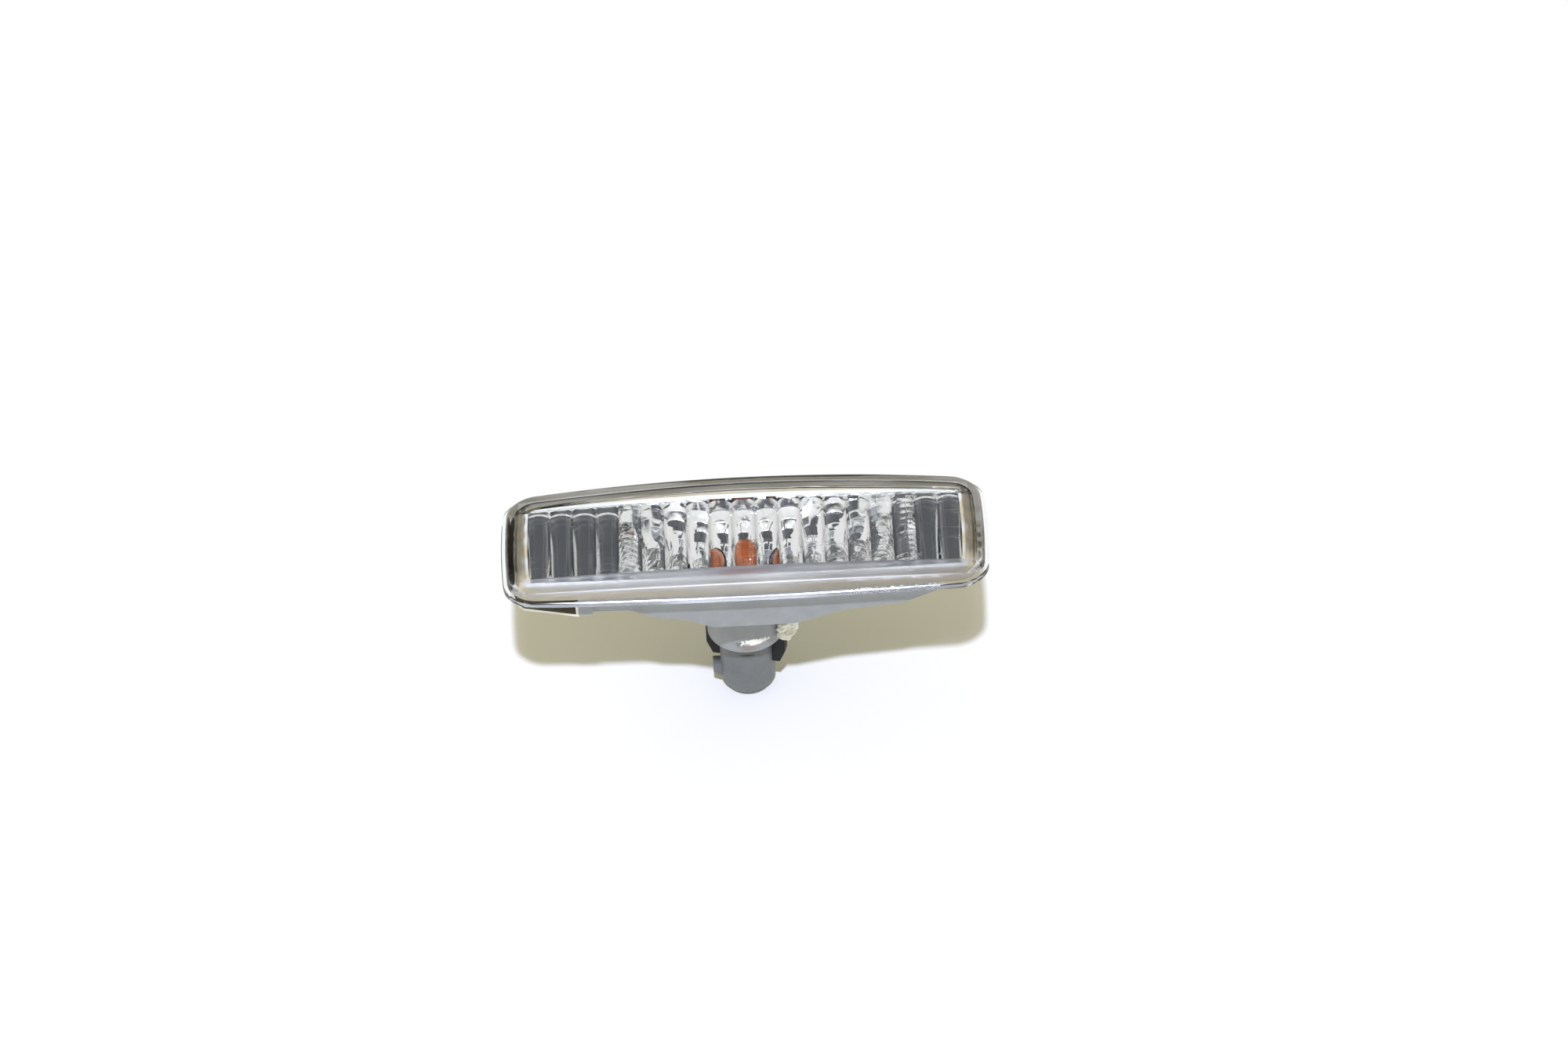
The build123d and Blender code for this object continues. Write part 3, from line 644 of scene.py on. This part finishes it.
# Places and radii of the balls that make the dried sealant: a run from the tray, and its crusty foot
SEALANT_RUN = (
    (0.0114, -0.0068, -0.0121, 0.0013),
    (0.0114, -0.0066, -0.0138, 0.0009),
    (0.0113, -0.0062, -0.0162, 0.0013),
    (0.0108, -0.0058, -0.0186, 0.0009),
    (0.0094, -0.0058, -0.0203, 0.0014),
    (0.0074, -0.0060, -0.0219, 0.0011),
)
SEALANT_FOOT = (
    (0.0074, -0.0060, -0.0240, 0.0010),
    (0.0086, -0.0056, -0.0244, 0.0014),
    (0.0096, -0.0052, -0.0236, 0.0012),
    (0.0106, -0.0048, -0.0222, 0.0009),
    (0.0112, -0.0052, -0.0196, 0.0009),
)
SEALANT_STEPS = 3


def sealant_balls():
    """Places and radii along both chains, close enough to melt together."""
    for chain in (SEALANT_RUN, SEALANT_FOOT):
        for first, second in zip(chain, chain[1:]):
            for step in range(SEALANT_STEPS):
                yield Vector(first).lerp(Vector(second), step / SEALANT_STEPS)
        yield Vector(chain[-1])


def build_sealant():
    """Balls melted into one lump by a remesh, then roughened."""
    balls = []
    for x, y, z, radius in sealant_balls():
        ball = start(bpy.ops.mesh.primitive_ico_sphere_add, subdivisions=3, radius=radius)
        move(x, y, z)
        close()
        balls.append(ball)
    lump = balls[0]
    join(lump, *balls[1:])
    lump.name = lump.data.name = "dried_sealant"
    use_modifier(lump, "REMESH", mode="VOXEL", voxel_size=0.00016)
    use_modifier(lump, "SMOOTH", factor=0.5, iterations=3)
    crust = bpy.data.textures.new("crust", "CLOUDS")
    crust.noise_scale, crust.noise_depth = 0.0008, 4
    use_modifier(lump, "DISPLACE", texture=crust, strength=0.0013, mid_level=0.55, texture_coords="LOCAL")
    smooth(lump, angle_deg=60)
    return lump


# Finishes

WHITE = (1.0, 1.0, 1.0)
DUST = (0.62, 0.61, 0.58)
# Pale grey laid along edges: a painted highlight.
EDGE_HIGHLIGHT = (0.75, 0.76, 0.75)
NEAR_SHADE = (0.45, 0.44, 0.41)
# Grey laid on the lens's inner near face: painted shade.
SCUFF = (0.13, 0.135, 0.14)
STAIN = (0.25, 0.20, 0.15)
LENS_SHADOW = (0.93, 0.94, 0.93)
CLEAR_IOR = 1.5

# Scratches' turns in degrees, stretches and scales
SCRATCHES = ((20, 30.0, 900.0), (-35, 40.0, 1100.0), (70, 24.0, 800.0), (-8, 45.0, 1300.0))

# Soft steps on the lens: what is measured, where the step begins and ends, and its values if not 0 and 1.
# The level is a height with the crown's fall added back. The rim is negative inside the outline.
LENS_STEPS = {
    "front": ("level", 0.0039, 0.0041),
    "outer_wall": ("rim", -0.0028, -0.0026),
    "border": ("rim", -0.0057, -0.0053),
    "over_flange": ("height", 0.0013, 0.0015),
    # These three steps place the border's painted shade: mostly on the far side and at the ends.
    "far_tint": ("across", -0.0150, -0.0090, 0.12, 1.0),
    "deep_tint": ("rim", -0.0052, -0.0036, 0.25, 1.0),
    "end_tint": ("off_middle", 0.0485, 0.0495, 0.0, 0.92),
    "under_front": ("level", 0.0042, 0.0041),
    "near_slope": ("across", -0.0119, -0.0120),
    "inside_wall": ("rim", -0.0028, -0.0029),
    "near_shade_ramp": ("along", -0.03, 0.03, 0.0, 0.6),
    "chips_left": ("along", 0.022, 0.025),
    "chips_right": ("along", 0.046, 0.042),
    "chips_edge": ("rim", -0.0009, -0.0006),
    "chips_near": ("across", 0.0, -0.001),
    "strip": ("rim", -0.0055, -0.0060),
    "haze": ("off_bulb", 0.032, 0.004),
    "wall_edge": ("rim", -0.0020, -0.0017),
    "wall_side": ("across", -0.0100, -0.0120),
    "wall_foot": ("height", 0.0014, 0.0016),
    "calm": ("across", -0.0130, -0.0090, 0.15, 1.0),
    "shadow": ("rim", -0.0037, -0.0035, 0.95, 0.25),
}

# Where the plating ends, and where its bare margin takes the far and the near side's colours, which are
# painted light and shade
PLATING_END = (-0.0063, -0.0061)
FAR_MARGIN = (0.0085, 0.0105)
NEAR_MARGIN = (-0.0100, -0.0120)


def new_finish(name):
    """A material with its node tree and its Principled shader."""
    material = bpy.data.materials.new(name)
    material.use_nodes = True
    tree = material.node_tree
    return material, tree, tree.nodes["Principled BSDF"]


def feed(tree, socket, value):
    """Link a socket to another one, or set it to a plain value."""
    if isinstance(value, bpy.types.NodeSocket):
        tree.links.new(value, socket)
    elif socket.type == "RGBA":
        socket.default_value = (*value, 1)
    else:
        socket.default_value = value


def feed_all(tree, item, values):
    for name, value in values.items():
        feed(tree, item.inputs[name], value)


def add_node(tree, kind, **settings):
    """A node with its settings, of which those named after a socket go into it."""
    item = tree.nodes.new(kind)
    for name, value in settings.items():
        if name in item.inputs:
            feed(tree, item.inputs[name], value)
        else:
            setattr(item, name, value)
    return item


def math_node(tree, operation, *values):
    item = add_node(tree, "ShaderNodeMath", operation=operation)
    for socket, value in zip(item.inputs, values):
        feed(tree, socket, value)
    return item.outputs[0]


def both(tree, *masks):
    return reduce(lambda first, second: math_node(tree, "MULTIPLY", first, second), masks)


def either(tree, *masks):
    return reduce(lambda first, second: math_node(tree, "MAXIMUM", first, second), masks)


def remap(tree, value, low, high, to_low=0.0, to_high=1.0):
    ends = {"From Min": low, "From Max": high, "To Min": to_low, "To Max": to_high}
    return add_node(tree, "ShaderNodeMapRange", clamp=True, Value=value, **ends).outputs["Result"]


def mix(tree, share, first, second):
    item = add_node(tree, "ShaderNodeMix", data_type="RGBA")
    for name, value in (("Factor", share), (6, first), (7, second)):
        feed(tree, item.inputs[name], value)
    return item.outputs[2]


def object_place(tree):
    return add_node(tree, "ShaderNodeTexCoord").outputs["Object"]


def sides_of(tree, vector):
    """A vector's X, Y and Z."""
    return tuple(add_node(tree, "ShaderNodeSeparateXYZ", Vector=vector).outputs)


def object_height(tree):
    return sides_of(tree, object_place(tree))[2]


def facing_up(tree):
    return sides_of(tree, add_node(tree, "ShaderNodeNewGeometry").outputs["Normal"])[2]


def noise(tree, place, scale, detail, rough=0.5):
    item = add_node(tree, "ShaderNodeTexNoise", Vector=place, Scale=scale, Detail=detail, Roughness=rough)
    return item.outputs["Fac"]


def stretched(tree, place, share, turn_deg=0):
    """Places drawn out along the lamp, for streaks."""
    turn = (0, 0, math.radians(turn_deg))
    item = add_node(tree, "ShaderNodeMapping", Vector=place, Rotation=turn, Scale=(share, 1.0, 1.0))
    return item.outputs["Vector"]


def bumps(tree, height, strength, distance=0.0001, **others):
    item = add_node(tree, "ShaderNodeBump", Height=height, Strength=strength, Distance=distance, **others)
    return item.outputs["Normal"]


def new_group(name, inputs, outputs):
    """A shader node group for numbers, with the sockets of its two ends."""
    group = bpy.data.node_groups.new(name, "ShaderNodeTree")
    for label, value in inputs.items():
        socket = group.interface.new_socket(label, in_out="INPUT", socket_type="NodeSocketFloat")
        socket.default_value = value
    for label in outputs:
        group.interface.new_socket(label, in_out="OUTPUT", socket_type="NodeSocketFloat")
    return group, group.nodes.new("NodeGroupInput").outputs, group.nodes.new("NodeGroupOutput").inputs


def grain_group():
    """Fine moulded grain: a height and a slow drift."""
    group, source, sink = new_group("moulded_grain", {"Size": 2600.0}, ["Height", "Drift"])
    place = object_place(group)
    feed(group, sink["Height"], noise(group, place, source["Size"], 3.0, 0.6))
    feed(group, sink["Drift"], remap(group, noise(group, place, 140.0, 4.0, 0.55), 0.3, 0.7))
    return group


def dust_group():
    """Dust that lies on faces that look up, in patches and specks."""
    group, source, sink = new_group("dust", {"Amount": 0.3}, ["Mask"])
    place = object_place(group)
    patch = remap(group, noise(group, place, 260.0, 6.0, 0.7), 0.42, 0.75)
    speck = remap(group, noise(group, place, 2200.0, 2.0), 0.62, 0.7)
    lying = remap(group, facing_up(group), -0.3, 0.9, 0.35, 1.0)
    marks = either(group, patch, both(group, speck, 0.7))
    feed(group, sink["Mask"], both(group, marks, lying, source["Amount"]))
    return group


def edge_group():
    """Painted highlights along edges, found by comparing a rounded normal with the true one."""
    group, source, sink = new_group("edge_highlight", {"Width": 0.0003}, ["Mask"])
    rounded = add_node(group, "ShaderNodeBevel", samples=6, Radius=source["Width"]).outputs["Normal"]
    true = add_node(group, "ShaderNodeNewGeometry").outputs["True Normal"]
    dot = add_node(group, "ShaderNodeVectorMath", operation="DOT_PRODUCT")
    feed(group, dot.inputs[0], rounded)
    feed(group, dot.inputs[1], true)
    feed(group, sink["Mask"], remap(group, dot.outputs["Value"], 0.995, 0.86))
    return group


def scratch_group():
    """Thin scratches in several directions, thinned out by patches."""
    group, source, sink = new_group("scratches", {"Amount": 1.0}, ["Mask"])
    place = object_place(group)
    lines = []
    for turn, stretch, scale in SCRATCHES:
        drawn_out = stretched(group, place, 1.0 / stretch, turn)
        lines.append(remap(group, noise(group, drawn_out, scale, 1.0), 0.70, 0.76))
    thin = remap(group, noise(group, place, 70.0, 2.0), 0.45, 0.65)
    feed(group, sink["Mask"], both(group, either(group, *lines), thin, source["Amount"]))
    return group


def rim_group():
    """How far a place lies outside the flange's bowed outline; negative inside it."""
    sizes = bpy.context.scene.lamp_lens
    group, _, sink = new_group("rim_distance", {}, ["Distance"])
    along, across, _ = sides_of(group, object_place(group))

    def beyond(value, half, other, radius):
        bow = math_node(group, "DIVIDE", both(group, other, other), 2 * radius)
        return math_node(group, "SUBTRACT", math_node(group, "ADD", value, bow), half)

    far = beyond(across, sizes.height / 2, along, sizes.far_radius)
    near = beyond(both(group, across, -1.0), sizes.height / 2, along, sizes.near_radius)
    end = beyond(math_node(group, "ABSOLUTE", along), sizes.length / 2, across, sizes.end_radius)
    feed(group, sink["Distance"], either(group, far, near, end))
    return group


SHARED_GROUPS = {
    "moulded_grain": grain_group,
    "dust": dust_group,
    "edge_highlight": edge_group,
    "scratches": scratch_group,
    "rim_distance": rim_group,
}


def shared(tree, name, **settings):
    """The outputs of a shared node group, which is made when it is first asked for."""
    group = bpy.data.node_groups.get(name) or SHARED_GROUPS[name]()
    return add_node(tree, "ShaderNodeGroup", node_tree=group, **settings).outputs


def patch_mask(tree, centre, radii, breakup, scale):
    """A ragged spot round a place on the piece."""
    place = object_place(tree)
    settings = {"vector_type": "TEXTURE", "Vector": place, "Location": centre, "Scale": radii}
    spot = add_node(tree, "ShaderNodeMapping", **settings).outputs["Vector"]
    length = add_node(tree, "ShaderNodeVectorMath", operation="LENGTH", Vector=spot).outputs["Value"]
    ragged = math_node(tree, "SUBTRACT", noise(tree, place, scale, 5.0, 0.65), 0.5)
    return remap(tree, math_node(tree, "ADD", length, both(tree, ragged, breakup)), 1.0, 0.75)


def moulded_plastic(name, colour, rough, dust, edge_shine, grain=2600.0, bump=0.08, gloss=0.5):
    """Moulded plastic with grain, dust and painted highlights on its edges; returns its tree too for marks
    on top.
    """
    material, tree, shader = new_finish(name)
    grains = shared(tree, "moulded_grain", Size=grain)
    base = Vector(colour)
    drift = mix(tree, grains["Drift"], base * 0.93, base * 1.05)
    dusty = mix(tree, shared(tree, "dust", Amount=dust)["Mask"], drift, DUST)
    # Edges are lightened towards pale grey: a painted highlight.
    edges = both(tree, shared(tree, "edge_highlight")["Mask"], edge_shine)
    values = {
        "Base Color": mix(tree, edges, dusty, base.lerp(Vector(EDGE_HIGHLIGHT), 0.45)),
        "Specular IOR Level": gloss,
        "Roughness": remap(tree, grains["Drift"], 0, 1, rough - 0.06, rough + 0.08),
        "Normal": bumps(tree, grains["Height"], bump),
    }
    feed_all(tree, shader, values)
    return material, tree, shader


def shadow_clear(tree, shader, share, tint):
    """Let light straight through to what is behind: shadow rays see a tinted clear surface."""
    shadow = add_node(tree, "ShaderNodeLightPath").outputs["Is Shadow Ray"]
    clear = add_node(tree, "ShaderNodeBsdfTransparent", Color=tint)
    mixed = add_node(tree, "ShaderNodeMixShader", Fac=both(tree, shadow, share))
    feed(tree, mixed.inputs[1], shader.outputs["BSDF"])
    feed(tree, mixed.inputs[2], clear.outputs["BSDF"])
    feed(tree, tree.nodes["Material Output"].inputs["Surface"], mixed.outputs["Shader"])


def lens_finish():
    """Clear plastic with painted shade in its thick border, wavy there, scratched, with chips on the near
    edge.
    """
    sizes, colours = bpy.context.scene.lamp_lens, bpy.context.scene.lamp_colours
    material, tree, shader = new_finish("clear_plastic")
    place = object_place(tree)
    along, across, height = sides_of(tree, place)
    fall = math_node(tree, "DIVIDE", both(tree, along, along), 2 * sizes.crown)
    measures = {
        "along": along,
        "across": across,
        "height": height,
        "level": math_node(tree, "ADD", height, fall),
        "rim": shared(tree, "rim_distance")["Distance"],
        "off_middle": math_node(tree, "ABSOLUTE", along),
        "off_bulb": math_node(tree, "ABSOLUTE", math_node(tree, "SUBTRACT", along, BULB_X)),
    }

    def band(*names):
        """Where all of the named soft steps are up."""
        steps = [LENS_STEPS[name] for name in names]
        return both(tree, *[remap(tree, measures[measure], *ends) for measure, *ends in steps])

    border = both(tree, band("border", "over_flange"), either(tree, band("front"), band("outer_wall")))
    streak = remap(tree, noise(tree, stretched(tree, place, 0.12), 330.0, 0.0), 0.35, 0.65)
    # The border is painted dark olive: painted shade for the floor's shadow seen through the thick plastic.
    tint = mix(tree, streak, colours.rim, Vector(colours.rim).lerp(Vector(colours.clear), 0.06))
    border_shade = both(tree, border, band("far_tint"), either(tree, band("deep_tint"), band("end_tint")))
    colour = mix(tree, border_shade, colours.clear, tint)
    inner = band("under_front", "near_slope", "inside_wall")
    # The inner near face is painted grey, more towards the right: painted shade.
    colour = mix(tree, both(tree, inner, band("near_shade_ramp")), colour, NEAR_SHADE)
    flakes = remap(tree, noise(tree, place, 900.0, 4.0), 0.5, 0.56)
    chip = both(tree, band("chips_left", "chips_right", "chips_edge", "chips_near"), flakes)
    scratches = shared(tree, "scratches")["Mask"]
    rough = remap(tree, scratches, 0, 1, 0.008, 0.30)
    for mask, share in (
        (border, 0.03),
        (inner, 0.30),
        (band("wall_edge", "wall_side", "wall_foot"), 0.30),
        (both(tree, inner, band("haze")), 0.7),
        (both(tree, inner, band("strip")), 0.7),
        (chip, 0.9),
    ):
        rough = either(tree, rough, both(tree, mask, share))
    waves = bumps(tree, both(tree, streak, border, band("calm")), 0.3, 0.0004)
    values = {
        "Transmission Weight": 1.0,
        "IOR": CLEAR_IOR,
        "Base Color": mix(tree, chip, colour, WHITE),
        "Roughness": rough,
        "Normal": bumps(tree, scratches, 0.25, 0.00005, invert=True, Normal=waves),
    }
    feed_all(tree, shader, values)
    shadow_clear(tree, shader, band("shadow"), LENS_SHADOW)
    return material


def plating_finish():
    """Bright plating with a bare, matt margin round it, coloured with painted light and shade."""
    colours = bpy.context.scene.lamp_colours
    material, tree, shader = new_finish("bright_plating")
    grains = shared(tree, "moulded_grain", Size=1500.0)
    margin = remap(tree, shared(tree, "rim_distance")["Distance"], *PLATING_END)
    base = Vector(colours.plating)
    tone = mix(tree, grains["Drift"], base * 0.97, base)
    place = object_place(tree)
    across = sides_of(tree, place)[1]
    patches = remap(tree, noise(tree, stretched(tree, place, 0.25), 150.0, 1.0), 0.5, 0.68)
    # Painted light and shade: tan and grey for the floor's shadow seen through the lens, pale on the far
    # side and in patches for a light band.
    pale = either(tree, remap(tree, across, *FAR_MARGIN), patches)
    tan = mix(tree, remap(tree, across, *NEAR_MARGIN), colours.margin, colours.near_margin)
    painted_margin = mix(tree, pale, tan, colours.far_margin)
    polish = remap(tree, grains["Drift"], 0, 1, 0.02, 0.06)
    values = {
        "Base Color": mix(tree, margin, tone, painted_margin),
        "Metallic": math_node(tree, "SUBTRACT", 1.0, margin),
        "Roughness": either(tree, polish, both(tree, margin, 0.5)),
        "Normal": bumps(tree, grains["Height"], 0.03),
    }
    feed_all(tree, shader, values)
    return material


def drifting(name, colour, darkest, grain, smoothest, roughest, others):
    """A finish whose tone and polish drift together."""
    material, tree, shader = new_finish(name)
    drift = shared(tree, "moulded_grain", Size=grain)["Drift"]
    base = Vector(colour)
    tone = mix(tree, drift, base * darkest, base)
    polish = remap(tree, drift, 0, 1, smoothest, roughest)
    feed_all(tree, shader, {"Base Color": tone, "Roughness": polish, **others})
    return material, tree, shader


def amber_finish():
    amber = bpy.context.scene.lamp_colours.amber
    glass = {"Transmission Weight": 0.8, "IOR": CLEAR_IOR}
    material, tree, shader = drifting("amber_glass", amber, 0.5, 900.0, 0.03, 0.08, glass)
    shadow_clear(tree, shader, 0.9, amber)
    return material


def metal_finish(name, colour, rough):
    return drifting(name, colour, 0.8, 3000.0, rough - 0.08, rough + 0.1, {"Metallic": 1.0})[0]


def over_colour(tree, shader, mask, colour):
    """Lay another colour over a finish where a mask is white."""
    socket = shader.inputs["Base Color"]
    feed(tree, socket, mix(tree, mask, socket.links[0].from_socket, colour))


def housing_finish():
    """Grey plastic with a tan rim of painted shade under the lens, and a white smear and scuffs on the
    collar's front.
    """
    colours = bpy.context.scene.lamp_colours
    material, tree, shader = moulded_plastic("moulded_grey", colours.grey, rough=0.42, dust=0.25, edge_shine=0.55)
    # The rim under the lens takes the margin's tan: painted shade for the floor's shadow seen through the
    # lens.
    over_colour(tree, shader, remap(tree, object_height(tree), -0.0005, -0.0004), colours.margin)
    for centre, radii, breakup, scale, share, colour in (
        ((-0.0022, -0.0090, -0.0239), (0.0011, 0.004, 0.0007), 2.4, 1500.0, 0.7, SCUFF),
        ((-0.0002, -0.0090, -0.0250), (0.0026, 0.004, 0.0010), 3.2, 1300.0, 0.6, STAIN),
        ((0.0012, -0.0090, -0.0234), (0.0036, 0.004, 0.0009), 2.6, 1200.0, 0.92, colours.sealant),
    ):
        spot = both(tree, patch_mask(tree, centre, radii, breakup, scale), share)
        over_colour(tree, shader, spot, colour)
    return material


def spring_finish():
    """Cream plastic with painted shade on the upward faces inside the spring's fold."""
    colours = bpy.context.scene.lamp_colours
    material, tree, shader = moulded_plastic("moulded_cream", colours.cream, rough=0.35, dust=0.15, edge_shine=0.2)
    up = remap(tree, facing_up(tree), 0.25, 0.4)
    below = remap(tree, object_height(tree), -0.0010, -0.0012)
    # Upward faces low in the fold are darkened: painted shade.
    over_colour(tree, shader, both(tree, up, below, 0.92), colours.fold_shade)
    return material


def dress_nodes():
    """Give the CAD nodes that stay their finishes."""
    colours = bpy.context.scene.lamp_colours
    brass = metal_finish("stamped_brass", colours.brass, 0.3)
    black = moulded_plastic("moulded_black", colours.black, rough=0.48, dust=0.03, edge_shine=0.08, gloss=0.25)
    shroud = moulded_plastic("moulded_dark_grey", colours.dark_grey, rough=0.45, dust=0.15, edge_shine=0.3)
    rubber = moulded_plastic("moulded_rubber", colours.rubber, 0.7, 0.1, 0.0, grain=1800.0, bump=0.15)
    finishes = {
        "housing": housing_finish(),
        "retaining_spring": spring_finish(),
        "bulb_socket": black[0],
        "plug_shroud": shroud[0],
        "holder_seal": rubber[0],
        "contact_left": brass,
        "contact_right": brass,
    }
    for name, material in finishes.items():
        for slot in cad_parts[name].material_slots:
            slot.material = material


def dress(piece, material, body, slot, *nodes):
    """Finish a new piece, tie it to its body and hide the nodes it stands for. The slot is not used."""
    piece.data.materials.clear()
    piece.data.materials.append(material)
    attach(piece, body)
    if nodes:
        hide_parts(*nodes)


# Operators


class LAMP_OT_lens(bpy.types.Operator):
    """Model the clear lens with its flutes"""

    bl_idname = "lamp.lens"
    bl_label = "Lens"

    def execute(self, context):
        dress(build_lens(), lens_finish(), "lamp_body", "clear_lens", "lens")
        return {"FINISHED"}


class LAMP_OT_reflector(bpy.types.Operator):
    """Model the plated reflector with its faceted bowl"""

    bl_idname = "lamp.reflector"
    bl_label = "Reflector"

    def execute(self, context):
        dress(build_reflector(), plating_finish(), "lamp_body", "plated_reflector", "reflector")
        return {"FINISHED"}


class LAMP_OT_bulb(bpy.types.Operator):
    """Model the bulb's glass, leads and filament"""

    bl_idname = "lamp.bulb"
    bl_label = "Bulb"

    def execute(self, context):
        wire = metal_finish("drawn_wire", context.scene.lamp_colours.wire, 0.3)
        dress(build_bulb_glass(), amber_finish(), "bulb_unit", "amber_glass", "bulb_glass")
        for name, side in (("bulb_lead_left", -1), ("bulb_lead_right", 1)):
            dress(build_lead(name, side), wire, "bulb_unit", "lead_wire", name)
        dress(build_filament(), wire, "bulb_unit", "lead_wire", "bulb_filament")
        return {"FINISHED"}


class LAMP_OT_sealant(bpy.types.Operator):
    """Model the dried sealant that has run from the tray to the collar"""

    bl_idname = "lamp.sealant"
    bl_label = "Sealant"

    def execute(self, context):
        colour = context.scene.lamp_colours.sealant
        crust = moulded_plastic("dried_sealant", colour, 0.6, dust=0.2, edge_shine=0.0, grain=1300.0, bump=0.5)[0]
        dress(build_sealant(), crust, "lamp_body", "cream_plastic")
        return {"FINISHED"}


class LAMP_OT_finishes(bpy.types.Operator):
    """Give the housing, holder, spring and contacts their finishes"""

    bl_idname = "lamp.finishes"
    bl_label = "Finishes"

    def execute(self, context):
        dress_nodes()
        return {"FINISHED"}


# The studio round the lamp, from the far side over the top to the near side: shares of half a turn
STUDIO_STOPS = (
    (0.0, WHITE),
    (0.12, WHITE),
    (0.15, (0.12, 0.125, 0.135)),
    (0.36, (0.09, 0.095, 0.105)),
    (0.40, (0.36, 0.385, 0.43)),
    (0.45, (0.42, 0.445, 0.49)),
    (0.46, WHITE),
    (0.49, WHITE),
    (0.50, (0.10, 0.11, 0.12)),
    (0.64, (0.07, 0.07, 0.08)),
    (0.66, WHITE),
    (0.76, WHITE),
    (0.78, (0.06, 0.06, 0.07)),
    (0.82, (0.06, 0.06, 0.07)),
    (0.84, (0.95, 0.95, 0.93)),
    (1.0, (0.92, 0.92, 0.90)),
)

# Its white sides: where they begin and end sideways and towards the far side, and their colour
SIDES_START = (0.13, 0.26)
SIDES_END = (0.88, 0.75)
SIDES_FAR = (0.64, 0.58)
SIDES_WHITE = (0.98, 0.98, 0.97)


def build_floor(values):
    floor = start(bpy.ops.mesh.primitive_grid_add, x_subdivisions=2, y_subdivisions=2, size=6)
    move(z=CAD_BOX[0].z)
    close()
    floor.name = floor.data.name = "floor"
    material, tree, shader = new_finish("pale_floor")
    feed_all(tree, shader, {"Base Color": values.floor, "Roughness": 1.0, "Specular IOR Level": 0.0})
    floor.data.materials.append(material)


def build_world(values):
    """Ambient light for matt surfaces, and a studio with pale and dark parts for mirrors and glass."""
    world = bpy.data.worlds.new("studio")
    bpy.context.scene.world = world
    world.use_nodes = True
    world.cycles.sampling_method = "NONE"
    tree = world.node_tree
    way_x, way_y, way_z = sides_of(tree, add_node(tree, "ShaderNodeTexCoord").outputs["Generated"])
    half_turns = math_node(tree, "DIVIDE", math_node(tree, "ARCTAN2", way_z, way_y), math.pi)
    ramp = add_node(tree, "ShaderNodeValToRGB", Fac=half_turns)
    elements = ramp.color_ramp.elements
    while len(elements) < len(STUDIO_STOPS):
        elements.new(0.5)
    for element, (place, colour) in zip(elements, STUDIO_STOPS):
        element.position, element.color = place, (*colour, 1)
    aside = math_node(tree, "ABSOLUTE", way_x)
    steps = ((aside, SIDES_START), (aside, SIDES_END), (way_y, SIDES_FAR))
    sideways = both(tree, *[remap(tree, measure, *ends) for measure, ends in steps])
    studio = mix(tree, sideways, ramp.outputs["Color"], SIDES_WHITE)
    path = add_node(tree, "ShaderNodeLightPath").outputs
    seen = either(tree, path["Is Camera Ray"], path["Is Glossy Ray"], path["Is Transmission Ray"])
    feed(tree, tree.nodes["Background"].inputs["Color"], mix(tree, seen, values.ambient, studio))


def build_camera(values):
    """A long lens from above the near side, tilted as the picture is."""
    into = Vector((0, math.cos(values.elevation), -math.sin(values.elevation)))
    level = Vector((1, 0, 0))
    upright = level.cross(into)
    right = level * math.cos(values.roll) - upright * math.sin(values.roll)
    up = level * math.sin(values.roll) + upright * math.cos(values.roll)
    bpy.ops.object.camera_add()
    camera = bpy.context.object
    camera.name = "camera"
    camera.data.lens = values.lens_mm
    camera.data.sensor_width = 36.0
    camera.data.clip_start = 0.05
    camera.data.clip_end = 20.0
    turn = Matrix((right, up, -into)).transposed().to_4x4()
    place = right * values.aim_right + up * values.aim_up - into * values.distance
    camera.matrix_world = Matrix.Translation(place) @ turn
    bpy.context.scene.camera = camera


class LAMP_OT_stage(bpy.types.Operator):
    """Lay the floor and set the light and the camera"""

    bl_idname = "lamp.stage"
    bl_label = "Stage"

    def execute(self, context):
        values = context.scene.lamp_stage
        build_floor(values)
        build_world(values)
        build_camera(values)
        bpy.ops.object.light_add(type="SUN", rotation=(values.key_tilt, 0, 0))
        key = context.object
        key.name = "key"
        key.data.energy = values.key_strength
        key.data.color = values.key_colour
        key.data.angle = values.key_angle
        context.scene.view_settings.view_transform = "Standard"
        return {"FINISHED"}


class LAMP_PT_panel(bpy.types.Panel):
    """Lists the lamp's operators"""

    bl_idname = "LAMP_PT_panel"
    bl_label = "Side repeater lamp"
    bl_space_type = "VIEW_3D"
    bl_region_type = "UI"
    bl_category = "Lamp"

    def draw(self, context):
        for operator in OPERATORS:
            self.layout.operator(operator.bl_idname)


OPERATORS = (
    LAMP_OT_lens,
    LAMP_OT_reflector,
    LAMP_OT_bulb,
    LAMP_OT_sealant,
    LAMP_OT_finishes,
    LAMP_OT_stage,
)


def register():
    for cls in (*GROUPS.values(), *OPERATORS, LAMP_PT_panel):
        bpy.utils.register_class(cls)
    for name, group in GROUPS.items():
        setattr(bpy.types.Scene, name, PointerProperty(type=group))


def unregister():
    for name in GROUPS:
        delattr(bpy.types.Scene, name)
    for cls in (LAMP_PT_panel, *reversed(OPERATORS), *reversed(tuple(GROUPS.values()))):
        bpy.utils.unregister_class(cls)


def main():
    register()
    bpy.ops.lamp.lens()
    bpy.ops.lamp.reflector()
    bpy.ops.lamp.bulb()
    bpy.ops.lamp.sealant()
    bpy.ops.lamp.finishes()
    bpy.ops.lamp.stage()


if __name__ == "__main__":
    main()
